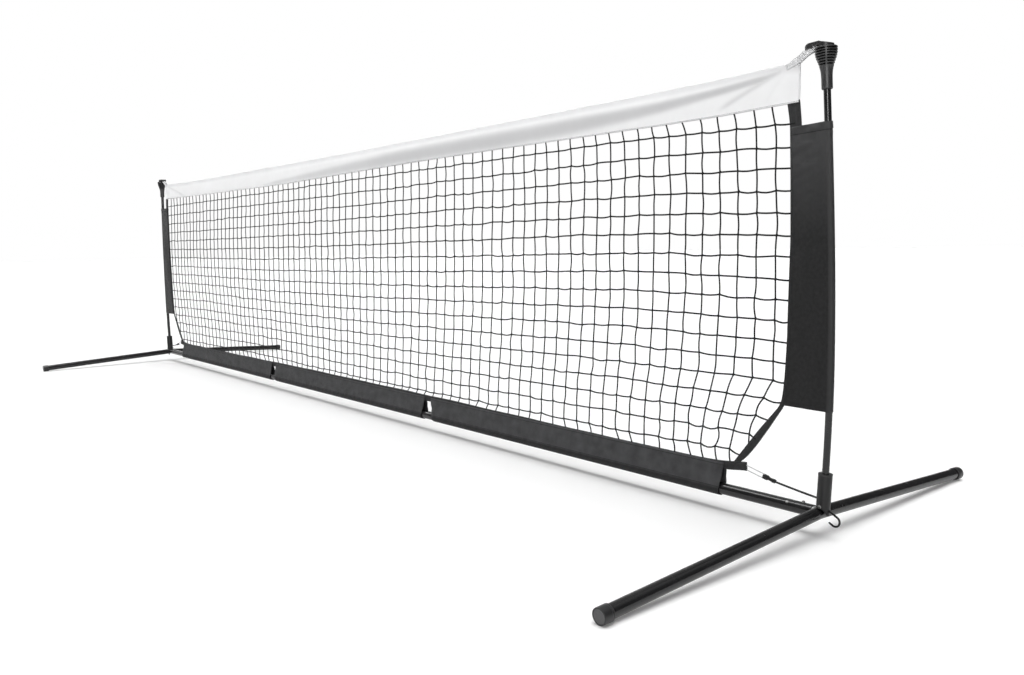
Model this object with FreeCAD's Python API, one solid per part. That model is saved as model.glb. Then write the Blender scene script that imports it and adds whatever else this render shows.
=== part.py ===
import FreeCAD, Part

# Portable pickleball net, in millimetres. +X runs along the net, -Y is the side that faces the
# player in front, +Z is up. The origin lies on the floor under the middle of the net.
# The right half is modelled, and what is alike on the left is its mirror image.

import math
import os

V = FreeCAD.Vector
os.makedirs("parts", exist_ok=True)

# Steel frame
hub_span = 3658.0           # from foot tube to foot tube, 12 feet
tube_od = 24.0
tube_wall = 1.2
hub_height = 45.0           # where the straight runs of a foot tube would meet
leg_length = 592.0          # along a leg, from the hub to the end face of its cap
foot_bend_radius = 150.0
cap_od = 28.0
cap_length = 22.0
cap_end_wall = 3.0
cap_rounding = 1.6
fit_gap = 0.15              # between tubes that slide into each other, on the radius
seat_gap = 0.3              # between pieces that stop just short of each other
lap_gap = 0.1               # between pieces that all but touch
cut_spare = 1.0             # how far a cutting tool reaches past the piece
least_length = 1e-6
stub_reach = 115.0          # from the hub to the open end of the welded stub
bar_joint = 648.5           # from mid-net to the joint between two bars
swage_length = 6.0          # cone that leads down to the narrow end of a bar
engagement = 103.0          # how far the narrow end goes into the next bar

# Snap buttons and key rivets of the four bar joints
button_setback = 21.7       # from the end of the outer tube
button_radius = 3.0
button_proud = 3.5
button_dome = 2.0
button_hole_gap = 0.2
button_flange_radius = 4.5
button_flange = 1.2
leaf_thickness = 0.7
leaf_width = 8.0
leaf_reach = 42.0
leaf_turn_rise = 2.8        # its bend at the end: how high its upper arm meets it
leaf_nose = 1.5             # and how far it bulges, at what height
leaf_nose_rise = 1.0
rivet_setback = 51.7
rivet_shank_radius = 2.0
rivet_head_radius = 3.6
rivet_head = 1.3
rivet_turn = 45.0           # degrees from the top towards the front
dome_shoulder = 0.35        # a low dome's shoulder and flat top, as shares of its size
dome_top = 0.6
socket_dome = 1.5           # a socket rivet's head stands out this much more than a key rivet's
rivet_sides = 10            # flat sides of small round pieces and of their holes
button_sides = 16
cap_sides = 28
head_sides = 24
liner_sides = 24
wire_sides = 8
key_slot_gap = 0.3

# Pole sockets, poles and their path
socket_od = 26.0
socket_wall = 1.5
mouth_height = 122.0
mouth_outboard = 10.7       # the socket's mouth lies this far outboard of the hub
pole_lean = 0.05            # outward lean of the socket, as a slope
flap_tip_height = 43.0
flap_tip_width = 9.0
flap_shoulder_height = 58.0
liner_lip = 0.2
liner_lip_height = 2.5
liner_floor = 3.0
pole_depth = 43.0           # how deep the pole stands in its liner
pole_od = 13.0
pole_bends = 5              # arcs that the bent pole is made of
tip_pull = 50.25            # how far the net pulls the pole back at its head
head_base_height = 827.0
head_bore_depth = 45.0
socket_rivet_drop = 62.0    # from the mouth, along the socket

# Pole cups and loop hooks
collar_radius = 10.0
collar_height = 33.0
collar_bevel = 1.0
bore_gap = 0.1              # round the pole, in the cup and in the liner, on the radius
flare_steps = 3             # cones between the collar and the first groove
cup_radius = 20.0
cup_rim_start = 71.0
cup_height = 80.0
rim_bevel = 2.0
groove_count = 7
groove_first = 46.0
groove_pitch = 5.13
groove_width = 2.6
groove_depth = 1.4
web_count = 3
web_width = 3.3
first_web = 60.0            # degrees round from outboard
hook_lid_radius = 14.5
hook_tip_radius = 10.5
hook_tip_reach = 30.0       # from the pole's axis to the centre of the tip's rounding
hook_wall = 2.0
hook_top = 88.0
hook_tip_top = 80.0
hook_skirt = 72.5           # lowest edge of the hood over the mouth
hook_crown_reach = 6.0      # the hood's side view: how far inboard its crown, knee and brow lie
hook_knee_reach = 26.0
hook_brow_reach = 4.2       # from the tip
hook_back_drop = 2.5        # and how far below the crown or the tip's top they are
hook_knee_drop = 2.2
hook_brow_rise = 1.5
hook_nose_drop = 5.0
hook_cavity_end = 9.0       # the mouth stops this far inboard of the pole's axis
pocket_floor = 66.0
pocket_half_width = 6.5
prong_radius = 2.6
prong_spare = 1.5           # its length below the loop

# White loop that hangs on the hook
strap_slope = 36.0          # degrees above level
strap_width = 15.0
strap_cloth = 0.9
strap_line = 73.5           # from the head's base to the strap's middle line, square to it
prong_station = 28.0        # along the strap's line
loop_open = 33.0            # from the prong to where its two layers lie together
loop_tail = 30.0
loop_tail_gap = 0.85

# Cloth layers, from the inside of the net outwards
mesh_half = 0.8
cloth = 0.7
binding_half_gap = 1.0
cover_half_gap = 1.9

# White tape along the top. Its places are given in from the hubs and from the heads' bases.
tape_inset = 58.0
tape_rise = 66.0            # its top corners above the heads' bases
tape_depth = 81.0           # from a top corner down to its lower edge
tape_corner_drop = 13.0
tape_shoulder_inset = 349.0
tape_shoulder_drop = 12.0   # its top edge dips inboard of the shoulders, and again to mid-net
tape_top_sag = 17.5
tape_bottom_sag = 8.0
headline_width = 13.0
headline_half = 0.7
headline_dip = 14.0         # its ends run down to meet the loops

# Mesh, edge bindings and bottom webbing
mesh_lap = 14.0             # how far the net reaches up inside the tape
mesh_bottom = 91.0
window_top_drop = 2.0       # the highest gaps end this far below the tape's mid
window_bottom = 110.0
mesh_columns = 31
mesh_rows = 6
mesh_strand = 2.4
least_gap = 6.0             # a clipped mesh gap narrower than this is left closed
binding_lap = 10.0          # how far a binding reaches up inside the tape
binding_shoulder = 37.0     # from the tape down to its first bend
binding_inner_line = [(72.0, 500.0), (86.0, 240.0), (139.5, 176.0), (193.0, 109.0)]
binding_outer_line = [(48.0, 500.0), (77.0, 240.0), (129.5, 166.0), (161.0, 113.5)]
binding_inner_top = [85.0, 75.0]    # in from the hub, at its top and at its first bend
binding_outer_top = [59.0, 51.0]
binding_fold = 3.0
webbing_width = 18.0
webbing_level = 96.0
webbing_rise = [(529.0, 0.0), (269.0, 0.5), (209.0, 2.0), (163.0, 8.5)]
                            # in from the hub, and up from its level at mid-net
webbing_fold = 1.5
tab_opening = 5.0           # its fold opens towards the tabs, where the rings come out

# Side sleeves and bar skirts
sleeve_top_drop = 44.0      # below the tape's lower corner
sleeve_bottom = 240.0
sleeve_sections = 7
sleeve_gap = 0.5
sleeve_edge_top = 74.0      # where it is sewn on, in from the hub
sleeve_edge_bottom = 81.0
skirt_top = 101.0
skirt_outer_insets = (207.0, 213.0)     # left and right, in from the hubs
skirt_joint_gaps = (55.5, 98.5, 142.5, 101.5)
                            # the skirts' other ends, in from the bar joints, left to right
skirt_gap = 0.3

# Corner tensioners
ring_wire_radius = 0.9
ring_width = 9.0
ring_corner_radius = 3.0
ring_start_place = (168.0, 101.6)       # in from the hub, and up
ring_end_place = (121.0, 90.5)
ring_bends = 3              # straight lengths in each of its corners
clip_length = 29.0
clip_height = 9.0
clip_line = [(0.0, 3.5), (1.0, 4.5), (10.0, 4.5), (14.0, 2.6), (20.0, 2.6), (23.0, 3.4),
             (29.0, 3.1)]   # half its height at places along it
clip_thickness = 6.0
clip_hole_gap = 0.15
clip_hole_setback = 3.2
clip_mouth = 1.5
elastic_radius = 2.0
elastic_height = 72.0       # of its knot inside the socket
elastic_seat = 4.0          # how deep it goes into the clip
knot_radius = 3.8
knot_length = 6.0
knot_bevel = 1.3
knot_setback = 0.7          # from the socket's inner wall to the middle of the knot's face
cord_hole_gap = 0.3

# Wire anchor hooks under the hubs
hook_wire_radius = 1.75
hook_bow_radius = 9.6
hook_bow_out = 31.8         # centre of the bow, outboard of the hub
hook_bow_height = 34.8
hook_tilt = 29.0            # degrees that its legs slope down outboard
hook_shank = 21.0
hook_return = 8.6
hook_bends = 3              # straight lengths in each quarter of the bow
hook_hole_gap = 0.15

# Values worked out from the sizes above
hub_x = hub_span / 2
tube_r = tube_od / 2
tube_in = tube_r - tube_wall
inner_r = tube_in - fit_gap
inner_in = inner_r - tube_wall
cap_r = cap_od / 2
socket_r = socket_od / 2
pole_r = pole_od / 2
bar_end = hub_x - tube_r - seat_gap
tape_end = hub_x - tape_inset
tape_shoulder = hub_x - tape_shoulder_inset
tape_top_end = head_base_height + tape_rise
tape_top_shoulder = tape_top_end - tape_shoulder_drop
tape_top_mid = tape_top_end - tape_top_sag
tape_bottom_end = tape_top_end - tape_depth
tape_bottom_mid = tape_bottom_end - tape_bottom_sag
mesh_top = tape_bottom_end + mesh_lap
window_top = tape_bottom_mid - window_top_drop
binding_top = tape_bottom_end + binding_lap
binding_bend = tape_bottom_end - binding_shoulder
binding_inner = [(hub_x - inset, z) for inset, z in
                 list(zip(binding_inner_top, (binding_top, binding_bend))) + binding_inner_line]
binding_outer = [(hub_x - inset, z) for inset, z in
                 list(zip(binding_outer_top, (binding_top, binding_bend))) + binding_outer_line]
webbing_line = [(0.0, webbing_level)] + [(hub_x - inset, webbing_level + rise)
                                         for inset, rise in webbing_rise]
sleeve_top = tape_bottom_end - sleeve_top_drop
ring_start = (hub_x - ring_start_place[0], ring_start_place[1])
ring_end = (hub_x - ring_end_place[0], ring_end_place[1])
flange_top = math.sqrt(inner_in ** 2 - button_flange_radius ** 2) - lap_gap
joint_gaps = [bar_joint - gap for gap in skirt_joint_gaps]
skirt_ends = [("left", skirt_outer_insets[0] - hub_x, -joint_gaps[0]),
              ("centre", -joint_gaps[1], joint_gaps[2]),
              ("right", joint_gaps[3], hub_x - skirt_outer_insets[1])]


def mirrored(shape):
    """The same piece on the other side of the net."""
    return shape.mirror(V(0, 0, 0), V(1, 0, 0))


def save(name, *solids):
    """Writes one node, as one solid or as a group of them."""
    shape = solids[0] if len(solids) == 1 else Part.makeCompound(list(solids))
    for solid in shape.Solids:
        if not solid.isValid() or solid.Volume <= 0:
            raise ValueError("bad solid in " + name)
    shape.exportStep("parts/" + name + ".step")
    print(name, len(shape.Solids), round(shape.Volume, 1))


def rod(start, end, radius):
    """A round rod from one point to another."""
    return Part.makeCylinder(radius, (end - start).Length, start, end - start)


def revolved(points, closed=True):
    """Turns a profile of (radius, height) points round Z."""
    corners = [V(r, 0, h) for r, h in points]
    if closed:
        corners.append(corners[0])
    face = Part.Face(Part.makePolygon(corners))
    return face.revolve(V(0, 0, 0), V(0, 0, 1), 360)


def turned(points, sides):
    """A small round piece with flat sides, from a profile of (radius, height) points. Its corners
    lie on the true circle."""
    turns = [2 * math.pi * k / sides for k in range(sides)]
    rings = [[V(r * math.cos(turn), r * math.sin(turn), h) for turn in turns] for r, h in points]
    faces = []
    for low, high in zip(rings, rings[1:] + rings[:1]):
        if (high[0] - low[0]).Length < least_length:
            continue
        for k in range(sides):
            corners = [low[k], low[(k + 1) % sides], high[(k + 1) % sides], high[k]]
            kept = [p for i, p in enumerate(corners) if (p - corners[i - 1]).Length > least_length]
            if len(kept) > 2:
                faces.append(Part.Face(Part.makePolygon(kept + kept[:1])))
    solid = Part.Solid(Part.Shell(faces)).removeSplitter()
    if solid.Volume < 0:
        solid.reverse()
    return solid


def drill(start, end, radius):
    """The tool for a small hole, with flat sides that touch the true circle."""
    corner = radius / math.cos(math.pi / rivet_sides)
    length = (end - start).Length
    tool = turned([(0, 0), (corner, 0), (corner, length), (0, length)], rivet_sides)
    tool.Placement = FreeCAD.Placement(start, FreeCAD.Rotation(V(0, 0, 1), end - start))
    return tool


def slab(points, half):
    """A flat piece standing in the net's plane: an (x, z) outline, half as thick each way."""
    corners = [V(x, -half, z) for x, z in points]
    corners.append(corners[0])
    return Part.Face(Part.makePolygon(corners)).extrude(V(0, 2 * half, 0))


def swept(edges, radius):
    """A round bar along a path of tangent lines and arcs."""
    path = Part.Wire(edges)
    start = edges[0].Vertexes[0].Point
    tangent = edges[0].tangentAt(edges[0].FirstParameter)
    ring = Part.Wire(Part.makeCircle(radius, start, tangent))
    return path.makePipeShell([ring], True, False)


def wire_form(points, radius, closed=False):
    """A round wire through points, mitred where it turns."""
    along = (points[1] - points[0]).normalize()
    side = V(0, 1, 0)
    up = along.cross(side)
    turns = [2 * math.pi * (k + 0.5) / wire_sides for k in range(wire_sides)]
    corners = [points[0] + side * (radius * math.cos(turn)) + up * (radius * math.sin(turn))
               for turn in turns]
    ring = Part.makePolygon(corners + corners[:1])
    path = Part.makePolygon(points + points[:1] if closed else points)
    return path.makePipeShell([ring], True, False, 1)


def turn_points(centre, first, second, radius, steps):
    """Points round a centre, from one unit direction to another one square to it."""
    turns = [math.pi / 2 * i / steps for i in range(steps + 1)]
    return [centre + first * (radius * math.cos(turn)) + second * (radius * math.sin(turn))
            for turn in turns]


def beside(points, distance):
    """The line that runs at a distance to the right of a line of (x, z) points, with mitred
    corners."""
    result = []
    for i, (x, z) in enumerate(points):
        before = points[max(i - 1, 0)]
        after = points[min(i + 1, len(points) - 1)]
        if i == 0:
            before = (x, z)
        normals = []
        for (x0, z0), (x1, z1) in ((before, (x, z)), ((x, z), after)):
            length = math.hypot(x1 - x0, z1 - z0)
            if length > 0:
                normals.append(((z1 - z0) / length, -(x1 - x0) / length))
        nx = sum(n[0] for n in normals)
        nz = sum(n[1] for n in normals)
        size = math.hypot(nx, nz)
        cosine = (nx * normals[0][0] + nz * normals[0][1]) / size
        result.append((x + nx / size * distance / cosine, z + nz / size * distance / cosine))
    return result


def band(points, left, right):
    """Outline of a strip that reaches left and right of a line of (x, z) points."""
    return beside(points, -left) + beside(points, right)[::-1]


def hairpin(nose, reach, half_gap, thickness, tail=0):
    """A closed outline of cloth that lies round a nose at the origin. Its two legs, tangent to
    the nose's arcs, draw together to +-half_gap at -reach, and then run on side by side."""
    def side(radius, gap):
        distance = math.hypot(reach, gap)
        angle = math.atan2(gap, -reach) - math.acos(radius / distance)
        touch = V(radius * math.cos(angle), radius * math.sin(angle), 0)
        middle = V(radius * math.cos(angle / 2), radius * math.sin(angle / 2), 0)
        legs = [V(-reach - tail, gap, 0), V(-reach, gap, 0), touch] if tail else [
            V(-reach, gap, 0), touch]
        return legs, middle, V(radius, 0, 0)

    def below(point):
        return V(point.x, -point.y, 0)

    def run(points):
        return [Part.makeLine(start, end) for start, end in zip(points, points[1:])]

    legs, middle, front = side(nose + thickness, half_gap + thickness)
    legs_in, middle_in, front_in = side(nose, half_gap)
    return Part.Wire(
        run(legs)
        + [Part.Arc(legs[-1], middle, front).toShape(),
           Part.Arc(front, below(middle), below(legs[-1])).toShape()]
        + run([below(point) for point in legs[::-1]] + [below(legs_in[0])])
        + run([below(point) for point in legs_in])
        + [Part.Arc(below(legs_in[-1]), below(middle_in), front_in).toShape(),
           Part.Arc(front_in, middle_in, legs_in[-1]).toShape()]
        + run(legs_in[::-1] + [legs[0]]))


# Foot tubes. Each is one tube bent at the hub, so that it stands on its two end caps.
axial = leg_length - cap_rounding
radial = cap_r - cap_rounding
leg_fall = (math.asin((hub_height - cap_rounding) / math.hypot(axial, radial))
            - math.atan2(radial, axial))


def leg_point(side, distance):
    """A point on a leg's middle line, at a distance from the hub."""
    return V(hub_x, side * distance * math.cos(leg_fall),
             hub_height - distance * math.sin(leg_fall))


def foot_path(length):
    """Middle line of a foot tube: front leg, bend, back leg."""
    bend_run = foot_bend_radius * math.tan(leg_fall)
    bend_low = foot_bend_radius / math.cos(leg_fall) - foot_bend_radius
    top = V(hub_x, 0, hub_height - bend_low)
    front = leg_point(-1, bend_run)
    back = leg_point(1, bend_run)
    return [Part.makeLine(leg_point(-1, length), front), Part.Arc(front, top, back).toShape(),
            Part.makeLine(back, leg_point(1, length))]


tube_length = leg_length - cap_end_wall
foot_solid = swept(foot_path(tube_length), tube_r)
foot = foot_solid.cut(swept(foot_path(tube_length), tube_in))
save("foot_tube_right", foot)
save("foot_tube_left", mirrored(foot))


# Foot caps. Each is a moulded cup pushed over the end of a leg, with a rounded rim.
def foot_cap(side):
    inset = cap_rounding * (1 - math.sqrt(0.5))
    seat = tube_r / math.cos(math.pi / cap_sides)
    cup = turned([(0, 0), (cap_r - cap_rounding, 0), (cap_r - inset, inset),
                  (cap_r, cap_rounding), (cap_r, cap_length - cap_rounding),
                  (cap_r - cap_rounding, cap_length), (seat, cap_length), (seat, cap_end_wall),
                  (0, cap_end_wall)], cap_sides)
    end = leg_point(side, leg_length)
    turn = FreeCAD.Rotation(V(0, 0, 1), leg_point(side, 0) - end)
    cup.Placement = FreeCAD.Placement(end, turn)
    return cup


for side, word in ((-1, "front"), (1, "back")):
    cap = foot_cap(side)
    save("foot_cap_right_" + word, cap)
    save("foot_cap_left_" + word, mirrored(cap))


# Snap joints. A button on a leaf spring holds the inner tube, and a rivet in a slot keeps it
# from turning. These tools are given for a joint whose outer tube ends at x, facing +X.
def along_x(x, shape):
    """Turns a shape made round Z so that it lies along +X at the bars' height."""
    shape.Placement = FreeCAD.Placement(V(x, 0, hub_height), FreeCAD.Rotation(V(0, 1, 0), 90))
    return shape


def button_hole(x):
    top = hub_height + tube_od
    radius = button_radius + button_hole_gap
    return drill(V(x - button_setback, 0, hub_height), V(x - button_setback, 0, top), radius)


def snap_button(x):
    """Domed button with a flange that stops under the inner tube's wall."""
    top = tube_r + button_proud
    button = turned([
        (0, flange_top - button_flange), (button_flange_radius, flange_top - button_flange),
        (button_flange_radius, flange_top), (button_radius, flange_top),
        (button_radius, top - button_dome), (button_radius * dome_top, top), (0, top)],
        button_sides)
    button.translate(V(x - button_setback, 0, hub_height))
    return button


def leaf_spring(x):
    """Folded leaf: one arm under the button, one along the bottom of the inner tube."""
    upper = hub_height + flange_top - button_flange - leaf_thickness / 2
    lower = hub_height - math.sqrt(inner_in ** 2 - (leaf_width / 2) ** 2) + leaf_thickness
    centre = x - button_setback
    line = [(centre + button_flange_radius, upper), (centre - button_flange_radius, upper),
            (centre - leaf_reach, lower + leaf_turn_rise),
            (centre - leaf_reach - leaf_nose, lower + leaf_nose_rise),
            (centre - leaf_reach, lower), (centre + button_flange_radius, lower)]
    return slab(band(line, leaf_thickness / 2, leaf_thickness / 2), leaf_width / 2)


def key_direction():
    turn = math.radians(rivet_turn)
    return V(0, -math.sin(turn), math.cos(turn))


def key_rivet(x):
    """Round-headed rivet through the outer tube's wall."""
    centre = V(x - rivet_setback, 0, hub_height)
    out = key_direction()
    foot = tube_r - inner_in + leaf_thickness
    rivet = turned([(0, -foot), (rivet_shank_radius, -foot), (rivet_shank_radius, 0),
                    (rivet_head_radius, 0), (rivet_head_radius, rivet_head * dome_shoulder),
                    (rivet_head_radius * dome_top, rivet_head), (0, rivet_head)], rivet_sides)
    rivet.Placement = FreeCAD.Placement(centre + out * tube_r, FreeCAD.Rotation(V(0, 0, 1), out))
    return rivet


def rivet_hole(x):
    centre = V(x - rivet_setback, 0, hub_height)
    return drill(centre, centre + key_direction() * tube_od, rivet_shank_radius)


def key_slot(x, open_end):
    """Slot in the inner tube that runs from its open end past the rivet."""
    wide = rivet_shank_radius + key_slot_gap
    centre = V(x - rivet_setback, 0, hub_height)
    out = key_direction()
    side = V(1, 0, 0).cross(out) * wide
    start = V(open_end - cut_spare, 0, hub_height)
    corners = [start + side, centre + side, centre - side, start - side, start + side]
    slot = Part.Face(Part.makePolygon(corners)).extrude(out * tube_od)
    return slot.fuse(drill(centre, centre + out * tube_od, wide))


# Stubs. A short tube is welded to each foot tube and goes into the bar's end.
stub = Part.makeCylinder(inner_r, stub_reach, V(hub_x - stub_reach, 0, hub_height), V(1, 0, 0))
stub = stub.cut(Part.makeCylinder(inner_in, stub_reach, V(hub_x - stub_reach, 0, hub_height),
                                  V(1, 0, 0)))
stub = stub.cut(foot_solid).cut(button_hole(bar_end)).cut(key_slot(bar_end, hub_x - stub_reach))
save("foot_stub_right", stub)
save("foot_stub_left", mirrored(stub))

# Bars. The centre bar is a plain tube, and each outer bar has a narrowed inner end.
centre_end = bar_joint - seat_gap
centre_bar = Part.makeCylinder(tube_r, 2 * centre_end, V(-centre_end, 0, hub_height), V(1, 0, 0))
centre_bar = centre_bar.cut(Part.makeCylinder(tube_in, 2 * centre_end,
                                              V(-centre_end, 0, hub_height), V(1, 0, 0)))
for tool in (button_hole(centre_end), rivet_hole(centre_end)):
    centre_bar = centre_bar.cut(tool).cut(mirrored(tool))
save("bar_centre", centre_bar)

outer_length = bar_end - bar_joint
outer_bar = along_x(bar_joint, revolved([
    (inner_r, -engagement), (inner_r, 0), (tube_r, swage_length), (tube_r, outer_length),
    (tube_in, outer_length), (tube_in, swage_length), (inner_in, 0), (inner_in, -engagement)]))
outer_bar = outer_bar.cut(button_hole(centre_end)).cut(key_slot(centre_end, bar_joint - engagement))
outer_bar = outer_bar.cut(button_hole(bar_end)).cut(rivet_hole(bar_end))
save("bar_right", outer_bar)
save("bar_left", mirrored(outer_bar))

rivets = []
for place, x in (("foot", bar_end), ("bar", centre_end)):
    button = snap_button(x)
    save(place + "_button_right", button)
    save(place + "_button_left", mirrored(button))
    spring = leaf_spring(x)
    save(place + "_spring_right", spring)
    save(place + "_spring_left", mirrored(spring))
    rivet = key_rivet(x)
    rivets += [rivet, mirrored(rivet)]
save("key_rivets", *rivets)


# Pole path. The pole stands straight in its socket, and above it bends back like a rod that is
# held at one end and pulled at the other: its bend is strongest at the socket and fades upwards.
mouth = V(hub_x + mouth_outboard, 0, mouth_height)
socket_axis = V(pole_lean, 0, 1).normalize()
bend_run = head_base_height - mouth_height


def pole_arcs():
    """The bent stretch as (start, slope angle, curvature, length) arcs."""
    arcs = []
    point, angle = V(mouth), math.atan(pole_lean)
    step = bend_run / pole_bends
    for i in range(pole_bends):
        middle = (i + 0.5) / pole_bends
        curvature = 3 * tip_pull * (1 - middle) / bend_run ** 2
        arcs.append((V(point), angle, curvature, step))
        point = arc_point(arcs[-1], step)
        angle -= curvature * step
    return arcs, point, angle


def arc_point(arc, distance):
    """The point at a distance along one arc, which turns inboard."""
    start, angle, curvature, _ = arc
    slope = angle - curvature * distance
    return V(start.x + (math.cos(slope) - math.cos(angle)) / curvature, 0,
             start.z + (math.sin(angle) - math.sin(slope)) / curvature)


arcs, head_base, head_angle = pole_arcs()


def pole_x(z):
    """How far outboard the pole's middle line lies at a height within its bent stretch."""
    for arc in arcs:
        start, angle, curvature, length = arc
        sine = math.sin(angle) - (z - start.z) * curvature
        distance = (angle - math.asin(sine)) / curvature
        if distance <= length + least_length or arc is arcs[-1]:
            return arc_point(arc, distance).x


head_axis = V(math.sin(head_angle), 0, math.cos(head_angle))
pole_foot = mouth - socket_axis * pole_depth
pole_tip = head_base + head_axis * (head_bore_depth - seat_gap)
path = [Part.makeLine(pole_foot, mouth)]
for arc in arcs:
    ends = [arc_point(arc, arc[3] * share) for share in (0, 0.5, 1)]
    path.append(Part.Arc(*ends).toShape())
path.append(Part.makeLine(head_base, pole_tip))
pole = swept(path, pole_r)
save("pole_right", pole)
save("pole_left", mirrored(pole))


# Pole sockets. A tube is cut to saddle the foot tube and welded to it, and its outboard wall
# runs on down as a rounded flap that holds the wire hook.
def in_socket(shape):
    """Puts a shape made round Z, with the mouth at height 0, into the leaning socket."""
    shape.Placement = FreeCAD.Placement(mouth, FreeCAD.Rotation(V(0, 0, 1), socket_axis))
    return shape


socket_length = mouth_height - flap_tip_height + socket_r
socket = in_socket(revolved([
    (socket_r - socket_wall, -liner_lip_height), (socket_r, -liner_lip_height),
    (socket_r, -socket_length), (socket_r - socket_wall, -socket_length)]))
flap = [(-socket_od, mouth_height + cut_spare), (-socket_od, flap_shoulder_height),
        (-socket_r, flap_shoulder_height), (-flap_tip_width / 2, flap_tip_height),
        (flap_tip_width / 2, flap_tip_height), (socket_r, flap_shoulder_height),
        (socket_od, flap_shoulder_height), (socket_od, mouth_height + cut_spare)]
corners = [V(hub_x - socket_od, y, z) for y, z in flap]
corners.append(corners[0])
flap_keeper = Part.Face(Part.makePolygon(corners)).extrude(V(3 * socket_od, 0, 0))
socket = socket.cut(foot_solid).common(flap_keeper)
socket = socket.cut(rod(V(hub_x - stub_reach, 0, hub_height), V(hub_x, 0, hub_height),
                        inner_r + seat_gap))

bow = V(hub_x + hook_bow_out, 0, hook_bow_height)
tilt = math.radians(hook_tilt)
leg_way = V(math.cos(tilt), 0, -math.sin(tilt))
bow_side = V(math.sin(tilt), 0, math.cos(tilt))
shank_end = bow + bow_side * hook_bow_radius
shank_start = shank_end - leg_way * hook_shank
socket = socket.cut(drill(shank_start, shank_end, hook_wire_radius + hook_hole_gap))

rivet_centre = mouth - socket_axis * socket_rivet_drop
rivet_half = V(0, socket_r, 0)
socket = socket.cut(drill(rivet_centre - rivet_half * 2, rivet_centre + rivet_half * 2,
                          rivet_shank_radius))
clip_way = V(ring_end[0] - ring_start[0], 0, ring_end[1] - ring_start[1]).normalize()
clip_end = V(ring_end[0], 0, ring_end[1]) + clip_way * (clip_length - clip_hole_setback)
inner_wall = mouth.x + (elastic_height - mouth.z) * pole_lean - socket_r + socket_wall
elastic_stop = V(inner_wall + knot_setback, 0, elastic_height)
cord_way = (elastic_stop - clip_end).normalize()
cord_hole = drill(clip_end, elastic_stop, elastic_radius + cord_hole_gap)
socket = max(socket.cut(cord_hole).Solids, key=lambda solid: solid.Volume)
save("pole_socket_right", socket)
save("pole_socket_left", mirrored(socket))


# Socket rivets. A tubular rivet crosses the socket's foot, with a domed head on each side.
def cross_rivet():
    rise = rivet_head * socket_dome
    half = [(rivet_shank_radius, socket_r), (rivet_head_radius, socket_r),
            (rivet_head_radius, socket_r + rise * dome_shoulder),
            (rivet_head_radius * dome_top, socket_r + rise), (0, socket_r + rise)]
    pin = turned([(r, -h) for r, h in half[::-1]] + half, rivet_sides)
    pin.Placement = FreeCAD.Placement(rivet_centre, FreeCAD.Rotation(V(0, 0, 1), V(0, 1, 0)))
    return pin


pin = cross_rivet()
save("socket_rivet_right", pin)
save("socket_rivet_left", mirrored(pin))

# Socket liners. A moulded bush fills the gap round the pole, and its lip caps the tube's edge.
liner_r = socket_r - socket_wall - fit_gap
liner_bore = (pole_r + bore_gap) / math.cos(math.pi / liner_sides)
liner_lip_r = (socket_r + liner_lip) / math.cos(math.pi / liner_sides)
liner = in_socket(turned([
    (0, -pole_depth - liner_floor), (liner_r, -pole_depth - liner_floor),
    (liner_r, -liner_lip_height), (liner_lip_r, -liner_lip_height), (liner_lip_r, 0),
    (liner_bore, 0), (liner_bore, -pole_depth), (0, -pole_depth)], liner_sides))
save("socket_liner_right", liner)
save("socket_liner_left", mirrored(liner))

# Wire anchor hooks. A bent wire goes through the flap and makes an open bow beside the hub.
return_start = bow - bow_side * hook_bow_radius
upper_bend = turn_points(bow, bow_side, leg_way, hook_bow_radius, hook_bends)
lower_bend = turn_points(bow, leg_way, bow_side * -1, hook_bow_radius, hook_bends)
anchor = wire_form([shank_start] + upper_bend + lower_bend[1:]
                   + [return_start - leg_way * hook_return], hook_wire_radius)
save("anchor_hook_right", anchor)
save("anchor_hook_left", mirrored(anchor))


# Pole cups. A ribbed moulding is pushed on the pole's tip: a smooth collar, a flare that swells
# into the cup through two tangent arcs, and grip grooves that stop at upright webs.
def on_head(shape):
    """Puts a shape made round Z, with the collar's foot at height 0, on the pole's tip."""
    shape.Placement = FreeCAD.Placement(head_base, FreeCAD.Rotation(V(0, 0, 1), head_axis))
    return shape


flare_out = (cup_radius - collar_radius) / 2
flare_up = (cup_rim_start - collar_height) / 2
flare_bow = (flare_out ** 2 + flare_up ** 2) / (2 * flare_out)


def cup_surface(height):
    """Radius of the cup at a height on the flare or the rim."""
    if height >= cup_rim_start:
        return cup_radius
    if height >= collar_height + flare_up:
        return cup_radius - flare_bow + math.sqrt(flare_bow ** 2 - (cup_rim_start - height) ** 2)
    return collar_radius + flare_bow - math.sqrt(flare_bow ** 2 - (height - collar_height) ** 2)


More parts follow.
